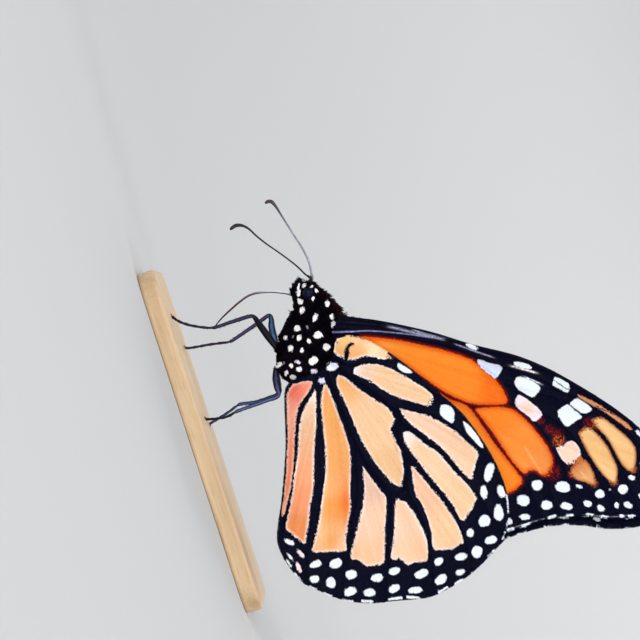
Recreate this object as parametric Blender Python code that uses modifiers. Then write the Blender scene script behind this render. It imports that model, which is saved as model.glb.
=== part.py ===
"""Monarch butterfly (Danaus plexippus), life size, feeding with its wings closed.

A still museum model: head, eyes, antennae, palps, proboscis, thorax, abdomen, six legs and four
wings, each in its own piece, on a thin flat display base that keeps it from tipping back.

Frame: +Z up, head toward -X, left side toward -Y. The origin is the middle of the base's underside.
Places are given in units of the side elevation: x runs toward the tail from the left middle foot,
y toward the right side and z up from the top of the base. UNIT turns them into metres.
"""

import math

import bmesh
import bpy
from mathutils import Vector

# Driving dimensions, in metres.
UNIT = 0.00095          # one unit of the elevation: the forewing is 54.4 units, 51.7 mm, long
GAP = 0.0003            # clearance between neighbouring solids
WING_THICKNESS = 0.0005
BASE_LENGTH = 0.0480
BASE_WIDTH = 0.0300
BASE_HEIGHT = 0.0024
BASE_CORNER = 0.0050    # radius of the base's upright corners
BASE_EDGE = 0.0004      # rounding of the base's rims

# Driving dimensions, in units of the elevation.
MIDDLE_X = 18.9         # half way from the antenna clubs to the hindwing's outer margin
BASE_MIDDLE_X = 18.0
RING_SIDES = 20         # corners of one ring of the body
WING_CELLS = (21, 13)   # wing grid, along and across
FORE_ROOT = (9.2, 21.8)     # hinge of the forewings
HIND_ROOT = (13.0, 19.6)    # hinge of the hindwings
FORE_LEVEL = 0.46       # half the distance between the two forewings' middle surfaces
WING_STEP = 0.95        # hindwing outside forewing, middle surface to middle surface
SPLAY = 0.009           # sideways spread of a wing for each unit from its hinge
SHOULDER = (2.4, 4.5)   # the wings' swelling round the thorax: height and reach
BELLY = (1.30, 2.6)     # the hindwings' swelling round the abdomen: height and reach
ABDOMEN_AXIS = ((14.6, 15.6), (31.0, 9.0))
EYE_PLACE = (2.66, 1.30, 19.72)
EYE_RADII = (0.98, 0.78, 0.98)
EYE_GAP = 0.16

# The body in side view: x, top, bottom and half width, out to the tips of the hairs.
BODY_STATIONS = (
    (0.95, 20.05, 19.55, 0.30),
    (1.25, 20.70, 19.10, 0.90),
    (1.80, 21.20, 18.75, 1.30),
    (2.50, 21.60, 18.35, 1.62),
    (3.20, 22.05, 17.55, 1.80),
    (3.90, 22.55, 16.95, 1.95),
    (4.70, 23.00, 17.45, 2.15),
    (5.60, 23.30, 16.75, 2.45),
    (6.60, 23.50, 15.60, 2.70),
    (7.80, 23.60, 14.15, 2.85),
    (9.20, 23.40, 12.75, 2.90),
    (10.60, 22.85, 12.10, 2.85),
    (11.90, 21.90, 11.95, 2.65),
    (13.00, 20.60, 12.20, 2.35),
    (13.90, 19.20, 12.75, 2.05),
    (14.80, 17.90, 13.10, 1.85),
    (16.40, 16.95, 12.65, 1.95),
    (18.80, 16.00, 11.75, 2.00),
    (21.40, 14.95, 10.70, 2.00),
    (24.00, 13.80, 9.75, 1.92),
    (26.40, 12.60, 9.05, 1.70),
    (28.60, 11.30, 8.55, 1.30),
    (30.20, 10.10, 8.40, 0.82),
    (31.20, 9.25, 8.55, 0.32),
)
NECK_CUT = ((4.35, 19.5), (1.0, 0.0))         # a point of the cut and the way it faces, in x and z
WAIST_CUT = ((14.45, 15.6), (0.928, -0.373))

# Wing outlines in side view, each edge from the hinge outward or from front to back.
FORE_COSTA = (
    (7.35, 23.4), (7.95, 25.0), (9.2, 27.7), (11.0, 31.0), (13.6, 35.3), (16.9, 40.0),
    (20.0, 45.0), (21.9, 47.5), (24.2, 50.0), (27.0, 52.6), (29.8, 55.0), (32.6, 57.2),
    (35.7, 59.2), (39.0, 60.7), (42.3, 61.5), (45.4, 61.0),
)
FORE_TERMEN = (
    (45.4, 61.0), (47.3, 59.7), (48.25, 57.4), (48.1, 54.5), (47.2, 51.2), (45.9, 48.3),
    (44.9, 45.3), (44.45, 42.3), (44.4, 38.5), (44.5, 35.0), (44.2, 32.0), (43.0, 29.8),
)
FORE_INNER = (
    (11.0, 21.5), (14.0, 21.5), (20.0, 22.2), (26.0, 23.4), (32.0, 25.0), (38.0, 27.0),
    (41.4, 28.3), (43.0, 29.8),
)
FORE_BASE = ((7.35, 23.4), (8.1, 22.3), (9.3, 21.6), (11.0, 21.5))
HIND_COSTA = (
    (10.4, 21.6), (10.05, 22.6), (10.45, 24.0), (12.1, 26.2), (14.9, 28.6), (18.0, 30.75),
    (22.0, 33.2), (26.0, 35.55), (30.0, 36.95), (34.0, 37.9), (38.0, 38.2), (41.2, 37.7),
    (43.6, 36.7), (45.6, 35.2),
)
HIND_MARGIN = (
    (45.6, 35.2), (47.0, 32.5), (48.5, 29.5), (49.3, 26.8), (49.85, 23.5), (49.5, 20.8),
    (48.8, 18.0), (48.3, 15.4), (47.3, 12.6), (45.7, 9.9), (44.1, 8.0), (42.4, 6.2),
)
HIND_ANAL = (
    (14.4, 17.2), (14.0, 15.6), (13.9, 13.7), (14.8, 12.3), (18.0, 11.2), (22.0, 10.05),
    (26.0, 8.5), (30.0, 6.8), (33.0, 5.3), (35.2, 4.45), (37.4, 4.45), (40.0, 5.1), (42.4, 6.2),
)
HIND_BASE = ((10.4, 21.6), (12.3, 20.6), (13.6, 19.2), (14.4, 17.2))

# Turn in degrees and slide in x and z of the right wings, which lie a little askew of the left.
RIGHT_FORE = (-1.4, 0.6, 0.0)
RIGHT_HIND = (1.1, 0.13, 0.35)

# Feelers, mouth and legs: x, y, z and radius of the points that their middle lines pass.
LEFT_ANTENNA = (
    (0.72, -0.62, 20.78, 0.32), (0.0, -0.75, 20.25, 0.30), (-1.5, -1.15, 19.45, 0.27),
    (-3.0, -1.6, 18.45, 0.27), (-4.5, -2.1, 17.35, 0.27), (-6.0, -2.6, 16.2, 0.27),
    (-7.5, -3.15, 15.2, 0.28), (-8.75, -3.6, 14.5, 0.30), (-9.5, -3.9, 13.75, 0.34),
    (-9.78, -4.1, 12.95, 0.36), (-9.65, -4.25, 12.3, 0.34), (-9.45, -4.3, 11.9, 0.27),
)
RIGHT_ANTENNA = (
    (0.75, 0.62, 20.95, 0.32), (0.0, 0.75, 21.1, 0.30), (-1.3, 1.1, 21.25, 0.27),
    (-2.8, 1.55, 21.15, 0.27), (-4.4, 2.05, 20.85, 0.27), (-6.2, 2.6, 20.35, 0.27),
    (-8.2, 3.2, 19.85, 0.28), (-10.0, 3.7, 19.4, 0.30), (-11.1, 4.0, 19.1, 0.34),
    (-11.8, 4.2, 18.75, 0.36), (-11.98, 4.3, 18.3, 0.34), (-11.85, 4.3, 17.8, 0.27),
)
PROBOSCIS = (
    (1.93, 0.0, 16.95, 0.34), (1.45, 0.0, 16.1, 0.30), (0.9, 0.0, 14.9, 0.28),
    (0.5, 0.0, 13.6, 0.27), (0.28, 0.0, 12.4, 0.27), (0.35, 0.0, 11.2, 0.27),
    (0.8, 0.0, 9.8, 0.27), (1.4, 0.0, 8.4, 0.27), (2.05, 0.0, 7.0, 0.27),
    (2.7, 0.0, 5.9, 0.27), (3.25, 0.0, 5.1, 0.27),
)
PALP = (
    (2.55, 0.66, 17.62, 0.34), (1.9, 0.66, 17.95, 0.48), (1.2, 0.64, 18.4, 0.50),
    (0.6, 0.60, 18.9, 0.42), (0.15, 0.56, 19.35, 0.27),
)
LEFT_MIDLEG = (
    (8.75, -1.7, 12.95, 0.42), (7.2, -2.2, 12.45, 0.46), (5.5, -2.9, 11.9, 0.42),
    (4.1, -3.4, 11.5, 0.34), (3.4, -3.6, 11.2, 0.32), (3.22, -3.7, 10.6, 0.31),
    (3.2, -3.9, 8.2, 0.31), (3.22, -4.1, 5.7, 0.30), (3.15, -4.15, 5.1, 0.29),
    (2.6, -4.3, 3.7, 0.27), (1.8, -4.5, 2.2, 0.27), (1.0, -4.7, 1.1, 0.27),
    (0.3, -4.8, 0.45, 0.27), (-0.2, -4.85, 0.1, 0.27),
)
RIGHT_MIDLEG = (
    (8.75, 1.7, 12.95, 0.42), (7.3, 2.2, 13.0, 0.44), (5.7, 2.9, 13.15, 0.40),
    (4.5, 3.4, 13.45, 0.34), (3.95, 3.6, 13.4, 0.32), (3.98, 3.65, 12.9, 0.31),
    (4.6, 3.75, 11.0, 0.30), (5.2, 3.9, 9.0, 0.29), (5.75, 4.1, 7.1, 0.28),
    (5.8, 4.15, 6.6, 0.28), (5.6, 4.3, 5.4, 0.27), (5.3, 4.5, 3.8, 0.27),
    (5.05, 4.65, 2.0, 0.27), (4.85, 4.75, 0.7, 0.27), (4.65, 4.8, 0.1, 0.27),
)
LEFT_HINDLEG = (
    (11.75, -1.5, 11.85, 0.38), (13.0, -2.1, 11.5, 0.44), (14.3, -2.8, 11.3, 0.40),
    (15.2, -3.2, 11.25, 0.35), (15.5, -3.3, 10.8, 0.34), (15.5, -3.4, 9.5, 0.36),
    (15.58, -3.6, 7.4, 0.34), (15.62, -3.75, 5.4, 0.32), (15.72, -3.8, 4.5, 0.30),
    (15.95, -3.9, 3.1, 0.30), (15.75, -4.0, 1.7, 0.30), (15.5, -4.05, 0.6, 0.30),
    (15.35, -4.1, 0.1, 0.30),
)
RIGHT_HINDLEG = (
    (11.75, 1.5, 11.85, 0.38), (13.0, 2.1, 11.6, 0.42), (14.2, 2.8, 11.45, 0.38),
    (15.0, 3.2, 11.35, 0.34), (15.3, 3.3, 10.8, 0.33), (15.4, 3.4, 9.5, 0.34),
    (15.35, 3.55, 7.4, 0.32), (15.0, 3.7, 5.6, 0.30), (15.0, 3.75, 4.9, 0.29),
    (15.5, 3.9, 3.4, 0.27), (15.9, 4.0, 1.9, 0.27), (16.2, 4.05, 0.7, 0.27),
    (16.3, 4.1, 0.1, 0.27),
)
FORELEG = (
    (7.5, 0.85, 13.92, 0.28), (6.5, 0.9, 14.97, 0.29), (5.5, 0.95, 15.95, 0.28),
    (4.8, 0.85, 16.55, 0.27), (4.5, 0.6, 16.6, 0.27),
)

# Name, colour, roughness of the materials.
COLOURS = {
    "cuticle": ((0.010, 0.009, 0.014), 0.45),
    "fur": ((0.012, 0.010, 0.012), 0.85),
    "eye": ((0.006, 0.007, 0.016), 0.18),
    "feeler": ((0.030, 0.018, 0.014), 0.50),
    "fore_wing": ((0.900, 0.230, 0.022), 0.65),
    "hind_wing": ((0.900, 0.560, 0.300), 0.70),
    "base": ((0.780, 0.700, 0.580), 0.45),
}


def clear_scene():
    for item in list(bpy.data.objects):
        bpy.data.objects.remove(item)


def collection(name):
    made = bpy.data.collections.new(name)
    bpy.context.scene.collection.children.link(made)
    return made


def material(name):
    colour, roughness = COLOURS[name]
    made = bpy.data.materials.get(name)
    if made is None:
        made = bpy.data.materials.new(name)
        made.use_nodes = True
        shader = made.node_tree.nodes["Principled BSDF"]
        shader.inputs["Base Color"].default_value = (*colour, 1.0)
        shader.inputs["Roughness"].default_value = roughness
        shader.inputs["Metallic"].default_value = 0.0
    return made


def at(x, y, z):
    """World place, in metres, of a point of the elevation."""
    return Vector(((x - MIDDLE_X) * UNIT, y * UNIT, z * UNIT + BASE_HEIGHT))


def through(points, position):
    """The point at a position from 0 to 1, by length, on a smooth curve through the points."""
    lengths = [0.0]
    for first, second in zip(points, points[1:]):
        lengths.append(lengths[-1] + math.dist(first, second))
    wanted = position * lengths[-1]
    index = 0
    while index < len(points) - 2 and lengths[index + 1] < wanted:
        index += 1
    span = lengths[index + 1] - lengths[index]
    t = (wanted - lengths[index]) / span
    before = points[max(index - 1, 0)]
    start = points[index]
    end = points[index + 1]
    after = points[min(index + 2, len(points) - 1)]
    reach_in = max(lengths[min(index + 1, len(points) - 1)] - lengths[max(index - 1, 0)], span)
    reach_out = max(lengths[min(index + 2, len(points) - 1)] - lengths[index], span)
    found = []
    for a, b, c, d in zip(before, start, end, after):
        slope_in = (c - a) / reach_in * span
        slope_out = (d - b) / reach_out * span
        found.append(
            (2 * t**3 - 3 * t**2 + 1) * b
            + (t**3 - 2 * t**2 + t) * slope_in
            + (3 * t**2 - 2 * t**3) * c
            + (t**3 - t**2) * slope_out
        )
    return tuple(found)


def smooth_route(points, count):
    return [through(points, step / (count - 1)) for step in range(count)]


def finish(item, name, look, parts):
    """Names an object, gives it its material and puts it in the object's collection."""
    item.name = name
    item.data.name = name
    item.data.materials.clear()
    item.data.materials.append(material(look))
    for home in list(item.users_collection):
        home.objects.unlink(item)
    parts.objects.link(item)
    return item


def from_bmesh(mesh_data, name, look, parts):
    mesh = bpy.data.meshes.new(name)
    mesh_data.to_mesh(mesh)
    mesh_data.free()
    mesh.shade_smooth()
    return finish(bpy.data.objects.new(name, mesh), name, look, parts)


def tube_curve(name, route, count):
    """A bevelled curve with filled caps through count points of a smooth route."""
    curve = bpy.data.curves.new(name, "CURVE")
    curve.dimensions = "3D"
    curve.bevel_depth = UNIT
    curve.bevel_resolution = 2
    curve.use_fill_caps = True
    spline = curve.splines.new("POLY")
    spline.points.add(count - 1)
    for point, (x, y, z, radius) in zip(spline.points, smooth_route(route, count)):
        point.co = (*at(x, y, z), 1.0)
        point.radius = radius
    return bpy.data.objects.new(name, curve)


def tube(name, route, count, look, parts):
    return finish(tube_curve(name, route, count), name, look, parts)


def standing_leg(name, route, count, look, parts):
    """A leg whose foot is cut to a small flat just clear of the base."""
    guide = tube_curve(name, route, count)
    parts.objects.link(guide)
    bpy.context.view_layer.update()
    shape = guide.evaluated_get(bpy.context.evaluated_depsgraph_get())
    mesh = bpy.data.meshes.new_from_object(shape)
    leg = bmesh.new()
    leg.from_mesh(mesh)
    bpy.data.objects.remove(guide)
    bpy.data.meshes.remove(mesh)
    bmesh.ops.remove_doubles(leg, verts=leg.verts, dist=1e-6)
    slice_off(leg, Vector((0.0, 0.0, BASE_HEIGHT + GAP)), Vector((0.0, 0.0, -1.0)))
    return from_bmesh(leg, name, look, parts)


def slice_off(mesh_data, place, facing):
    """Cuts away what lies beyond a plane and closes the cut."""
    everything = mesh_data.verts[:] + mesh_data.edges[:] + mesh_data.faces[:]
    bmesh.ops.bisect_plane(
        mesh_data, geom=everything, dist=1e-7, plane_co=place, plane_no=facing, clear_outer=True
    )
    rim = [edge for edge in mesh_data.edges if edge.is_boundary]
    if rim:
        bmesh.ops.holes_fill(mesh_data, edges=rim, sides=0)
    bmesh.ops.recalc_face_normals(mesh_data, faces=mesh_data.faces)


def whole_body():
    """The body from face to tail as one loft of oval rings."""
    body = bmesh.new()
    rings = []
    for x, top, bottom, half_width in BODY_STATIONS:
        middle = (top + bottom) / 2
        half_height = (top - bottom) / 2
        ring = []
        for step in range(RING_SIDES):
            angle = 2 * math.pi * step / RING_SIDES
            y = half_width * math.cos(angle)
            z = middle + half_height * math.sin(angle)
            ring.append(body.verts.new(at(x, y, z)))
        rings.append(ring)
    for front, back in zip(rings, rings[1:]):
        for step in range(RING_SIDES):
            after = (step + 1) % RING_SIDES
            body.faces.new((front[step], front[after], back[after], back[step]))
    body.faces.new(rings[0])
    body.faces.new(rings[-1])
    bmesh.ops.recalc_face_normals(body, faces=body.faces)
    return body


def body_piece(name, look, parts, front=None, back=None):
    """One length of the body, between a cut behind its front and a cut before its back."""
    piece = whole_body()
    for cut, side in ((front, -1.0), (back, 1.0)):
        if cut:
            (x, z), (face_x, face_z) = cut
            facing = Vector((face_x, 0.0, face_z)) * side
            slice_off(piece, at(x, 0.0, z) - facing * GAP / 2, facing)
    return from_bmesh(piece, name, look, parts)


def ball(name, side, grow):
    """An eye's rounded lens, or with grow the room that it takes."""
    x, y, z = EYE_PLACE
    bpy.ops.mesh.primitive_uv_sphere_add(segments=18, ring_count=10, radius=UNIT)
    lens = bpy.context.object
    lens.name = name
    lens.location = at(x, side * y, z)
    lens.rotation_euler = (math.radians(90), 0.0, 0.0)
    across, deep, high = (radius + grow for radius in EYE_RADII)
    lens.scale = (across, high, deep)
    lens.data.shade_smooth()
    return lens


def eyes(head, parts, cutters):
    for side, hand in ((-1, "left"), (1, "right")):
        finish(ball("eye", side, 0.0), f"eye_{hand}", "eye", parts)
        socket = finish(ball("socket", side, EYE_GAP), f"cut_socket_{hand}", "eye", cutters)
        socket.hide_render = True
        socket.display_type = "WIRE"
        cut = head.modifiers.new(f"socket_{hand}", "BOOLEAN")
        cut.operation = "DIFFERENCE"
        cut.object = socket


def distance_to_abdomen(x, z):
    (start_x, start_z), (end_x, end_z) = ABDOMEN_AXIS
    along = Vector((end_x - start_x, end_z - start_z))
    offset = Vector((x - start_x, z - start_z))
    t = min(max(offset.dot(along) / along.length_squared, 0.0), 1.0)
    return (offset - along * t).length


def fore_level(x, z):
    """Sideways distance of a forewing's middle surface from the body's middle plane."""
    reach = math.dist((x, z), FORE_ROOT)
    height, width = SHOULDER
    return FORE_LEVEL + SPLAY * reach + height * math.exp(-((reach / width) ** 2))


def hind_level(x, z):
    """The same for a hindwing, which lies outside the forewing and round the abdomen."""
    height, width = BELLY
    belly = height * math.exp(-((distance_to_abdomen(x, z) / width) ** 2))
    return fore_level(x, z) + WING_STEP + belly


def patch_point(edges, u, v):
    """A point of the surface spanned by four edges: u from the hinge out, v from front to back."""
    front, outer, back, root = edges
    near = through(front, u)
    far = through(back, u)
    inner = through(root, v)
    rim = through(outer, v)
    corners = (front[0], front[-1], back[0], back[-1])
    found = []
    for axis in range(2):
        blend = (1 - v) * near[axis] + v * far[axis] + (1 - u) * inner[axis] + u * rim[axis]
        weights = ((1 - u) * (1 - v), u * (1 - v), (1 - u) * v, u * v)
        blend -= sum(weight * corner[axis] for weight, corner in zip(weights, corners))
        found.append(blend)
    return found


def wing(name, edges, level, root, side, askew, look, parts):
    """A thin cambered sheet on the grid of its four edges, thickened evenly to both sides."""
    along, across = WING_CELLS
    bpy.ops.mesh.primitive_grid_add(x_subdivisions=along, y_subdivisions=across, size=1.0)
    sheet = bpy.context.object
    turn, slide_x, slide_z = askew
    turn = math.radians(turn)
    for vertex in sheet.data.vertices:
        x, z = patch_point(edges, vertex.co.x + 0.5, 0.5 - vertex.co.y)
        y = side * level(x, z)
        arm_x = x - root[0]
        arm_z = z - root[1]
        x = root[0] + arm_x * math.cos(turn) - arm_z * math.sin(turn) + slide_x
        z = root[1] + arm_x * math.sin(turn) + arm_z * math.cos(turn) + slide_z
        vertex.co = at(x, y, z)
    sheet.data.shade_smooth()
    thick = sheet.modifiers.new("thickness", "SOLIDIFY")
    thick.thickness = WING_THICKNESS
    thick.offset = 0.0
    return finish(sheet, name, look, parts)


def wings(parts):
    fore = (FORE_COSTA, FORE_TERMEN, FORE_INNER, FORE_BASE)
    hind = (HIND_COSTA, HIND_MARGIN, HIND_ANAL, HIND_BASE)
    level = (0.0, 0.0, 0.0)
    for side, hand, fore_askew, hind_askew in (
        (-1, "left", level, level),
        (1, "right", RIGHT_FORE, RIGHT_HIND),
    ):
        wing(f"forewing_{hand}", fore, fore_level, FORE_ROOT, side, fore_askew, "fore_wing", parts)
        wing(f"hindwing_{hand}", hind, hind_level, HIND_ROOT, side, hind_askew, "hind_wing", parts)


def mirrored(route, side):
    return [(x, side * y, z, radius) for x, y, z, radius in route]


def limbs(parts):
    for side, hand in ((-1, "left"), (1, "right")):
        tube(f"palp_{hand}", mirrored(PALP, side), 7, "fur", parts)
        tube(f"foreleg_{hand}", mirrored(FORELEG, side), 9, "cuticle", parts)
    tube("antenna_left", LEFT_ANTENNA, 20, "feeler", parts)
    tube("antenna_right", RIGHT_ANTENNA, 20, "feeler", parts)
    tube("proboscis", PROBOSCIS, 16, "feeler", parts)
    standing_leg("midleg_left", LEFT_MIDLEG, 20, "cuticle", parts)
    standing_leg("midleg_right", RIGHT_MIDLEG, 20, "cuticle", parts)
    standing_leg("hindleg_left", LEFT_HINDLEG, 20, "cuticle", parts)
    standing_leg("hindleg_right", RIGHT_HINDLEG, 20, "cuticle", parts)


def stand(parts):
    """The display base: a plate with round corners and eased rims."""
    plate = bmesh.new()
    bmesh.ops.create_cube(plate, size=1.0)
    bmesh.ops.scale(plate, vec=(BASE_LENGTH, BASE_WIDTH, BASE_HEIGHT), verts=plate.verts)
    uprights = [e for e in plate.edges if abs(e.verts[0].co.z - e.verts[1].co.z) > BASE_HEIGHT / 2]
    bmesh.ops.bevel(plate, geom=uprights, offset=BASE_CORNER, segments=6, profile=0.5, affect="EDGES")
    rims = [e for e in plate.edges if abs(e.verts[0].co.z - e.verts[1].co.z) < BASE_HEIGHT / 2]
    bmesh.ops.bevel(plate, geom=rims, offset=BASE_EDGE, segments=2, profile=0.5, affect="EDGES")
    place = Vector(((BASE_MIDDLE_X - MIDDLE_X) * UNIT, 0.0, BASE_HEIGHT / 2))
    bmesh.ops.translate(plate, vec=place, verts=plate.verts)
    base = from_bmesh(plate, "stand_base", "base", parts)
    base.data.set_sharp_from_angle(angle=math.radians(30))
    return base


def build():
    clear_scene()
    parts = collection("monarch_butterfly")
    cutters = collection("cutters")
    head = body_piece("head", "fur", parts, back=NECK_CUT)
    body_piece("thorax", "fur", parts, front=NECK_CUT, back=WAIST_CUT)
    body_piece("abdomen", "fur", parts, front=WAIST_CUT)
    eyes(head, parts, cutters)
    wings(parts)
    limbs(parts)
    stand(parts)


build()
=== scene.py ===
"""Monarch butterfly feeding with its wings closed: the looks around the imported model.

Places are given in units of the side elevation, as in the model: x runs toward the tail from the
left middle foot, y toward the right side and z up from the top of the base. UNIT turns them into
metres. The left side, toward -Y, faces the camera.
"""

import math

import bpy
import numpy as np
from mathutils import Matrix, Vector
from mathutils.kdtree import KDTree


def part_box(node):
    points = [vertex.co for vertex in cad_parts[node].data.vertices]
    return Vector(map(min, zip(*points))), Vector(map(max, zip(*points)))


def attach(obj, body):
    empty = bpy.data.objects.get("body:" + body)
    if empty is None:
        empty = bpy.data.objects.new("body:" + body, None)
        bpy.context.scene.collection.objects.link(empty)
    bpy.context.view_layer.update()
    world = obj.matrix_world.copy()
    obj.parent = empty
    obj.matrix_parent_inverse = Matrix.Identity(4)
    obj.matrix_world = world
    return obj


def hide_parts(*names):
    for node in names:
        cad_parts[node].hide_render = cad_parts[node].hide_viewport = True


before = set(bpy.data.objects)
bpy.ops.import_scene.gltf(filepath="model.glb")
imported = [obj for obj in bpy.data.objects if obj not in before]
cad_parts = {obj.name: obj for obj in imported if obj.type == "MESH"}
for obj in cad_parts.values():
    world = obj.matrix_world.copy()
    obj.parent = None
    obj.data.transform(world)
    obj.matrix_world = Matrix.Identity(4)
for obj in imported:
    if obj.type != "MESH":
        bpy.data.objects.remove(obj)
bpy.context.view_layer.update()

# The model's scale and place, in metres.
UNIT = 0.00095
BASE_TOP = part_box("stand_base")[1].z
MIDDLE_X = 18.9          # the x of the elevation that lies over the middle of the model's box

# The wings, in units of the elevation.
FORE_ROOT = (9.2, 21.8)  # the hinges, in x and z
HIND_ROOT = (13.0, 19.6)
FORE_LEVEL = 0.46        # the forewing's distance from the body's middle plane, before splay and shoulder
WING_STEP = 0.95         # how far outside the forewing the hindwing lies
SPLAY = 0.009            # how much further out both lie for each unit of distance from the hinge
SHOULDER = (2.4, 4.5)    # how much further out they lie at the hinge, and how far that reaches
BELLY = (1.30, 2.6)      # the same for the hindwing where it goes round the abdomen
ABDOMEN_AXIS = ((14.6, 15.6), (31.0, 9.0))
RIGHT_FORE = (-1.4, 0.6, 0.0)    # turn in degrees and slide in x and z, so that the sides differ
RIGHT_HIND = (1.1, 0.13, 0.35)
MEMBRANE = 0.10          # half the membrane's thickness between the veins
FRINGE = 0.27            # how far the fringe scales stand out past the membrane
FRINGE_PITCH = 0.055
HIDDEN_DEPTH = 1.8       # how far in under the hindwing the forewing still has outer scales
GRID = (190, 130)        # cells of a wing's membrane, along and across
EDGE_STEPS = 89          # steps of the outline along each of a wing's four edges
SLOPE_STEP = 0.05        # step over which a surface's slope is measured
STREAK_REACH = 42.0      # how far from the hinge the painted fold streaks run
SQUARENESS = 2.2         # of the spots: 2 is an oval, more is squarer
EMBER_GROWTH = 0.10      # how far cells with an ember rim reach past their outline
UPPER_TINT = (0.92, 0.5704, 0.2576)   # of the wings' upper sides, which face each other here
BAKE_PATCH = 0.003       # size of a scale's patch in the bake map
BAKE_LENGTH = 33.0       # length of body that the bake map of the coat holds
VANE_TIP = 3             # which point of a scale's outline is its tip

# Each wing's outline as four edges that share their ends: front, outer, back and hinge.
FORE_EDGES = (
    ((7.35, 23.4), (7.95, 25.0), (9.2, 27.7), (11.0, 31.0), (13.6, 35.3), (16.9, 40.0), (20.0, 45.0),
     (21.9, 47.5), (24.2, 50.0), (27.0, 52.6), (29.8, 55.0), (32.6, 57.2), (35.7, 59.2), (39.0, 60.7),
     (42.3, 61.5), (45.4, 61.0)),
    ((45.4, 61.0), (47.3, 59.7), (48.25, 57.4), (48.1, 54.5), (47.2, 51.2), (45.9, 48.3), (44.9, 45.3),
     (44.45, 42.3), (44.4, 38.5), (44.5, 35.0), (44.2, 32.0), (43.0, 29.8)),
    ((11.0, 21.5), (14.0, 21.5), (20.0, 22.2), (26.0, 23.4), (32.0, 25.0), (38.0, 27.0), (41.4, 28.3),
     (43.0, 29.8)),
    ((7.35, 23.4), (8.1, 22.3), (9.3, 21.6), (11.0, 21.5)),
)
HIND_EDGES = (
    ((10.4, 21.6), (10.05, 22.6), (10.45, 24.0), (12.1, 26.2), (14.9, 28.6), (18.0, 30.75),
     (22.0, 33.2), (26.0, 35.55), (30.0, 36.95), (34.0, 37.9), (38.0, 38.2), (41.2, 37.7),
     (43.6, 36.7), (45.6, 35.2)),
    ((45.6, 35.2), (47.0, 32.5), (48.5, 29.5), (49.3, 26.8), (49.85, 23.5), (49.5, 20.8), (48.8, 18.0),
     (48.3, 15.4), (47.3, 12.6), (45.7, 9.9), (44.1, 8.0), (42.4, 6.2)),
    ((14.4, 17.2), (14.0, 15.6), (13.9, 13.7), (14.8, 12.3), (18.0, 11.2), (22.0, 10.05), (26.0, 8.5),
     (30.0, 6.8), (33.0, 5.3), (35.2, 4.45), (37.4, 4.45), (40.0, 5.1), (42.4, 6.2)),
    ((10.4, 21.6), (12.3, 20.6), (13.6, 19.2), (14.4, 17.2)),
)

# Colours of the scales, as shown on a screen.
INK = (5, 7, 29)
WHITE = (240, 246, 255)
FROST = (255, 238, 232)
BUFF = (249, 208, 165)
PEACH = (246, 200, 162)
SHELL = (255, 212, 182)
AMBER = (245, 174, 106)
GLOW = (249, 150, 78)
ROSE = (250, 168, 140)
FLAME = (254, 142, 44)
EMBER = (236, 98, 22)
MAROON = (134, 22, 12)
STRAW = (244, 197, 136)
BLUSH = (250, 214, 190)
HAZE = (226, 226, 246)
RUST = (170, 84, 40)
FOX = (206, 96, 34)
SIENNA = (214, 140, 96)
PALE_BUFF = (253, 228, 190)
PINK_WHITE = (250, 234, 242)

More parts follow.
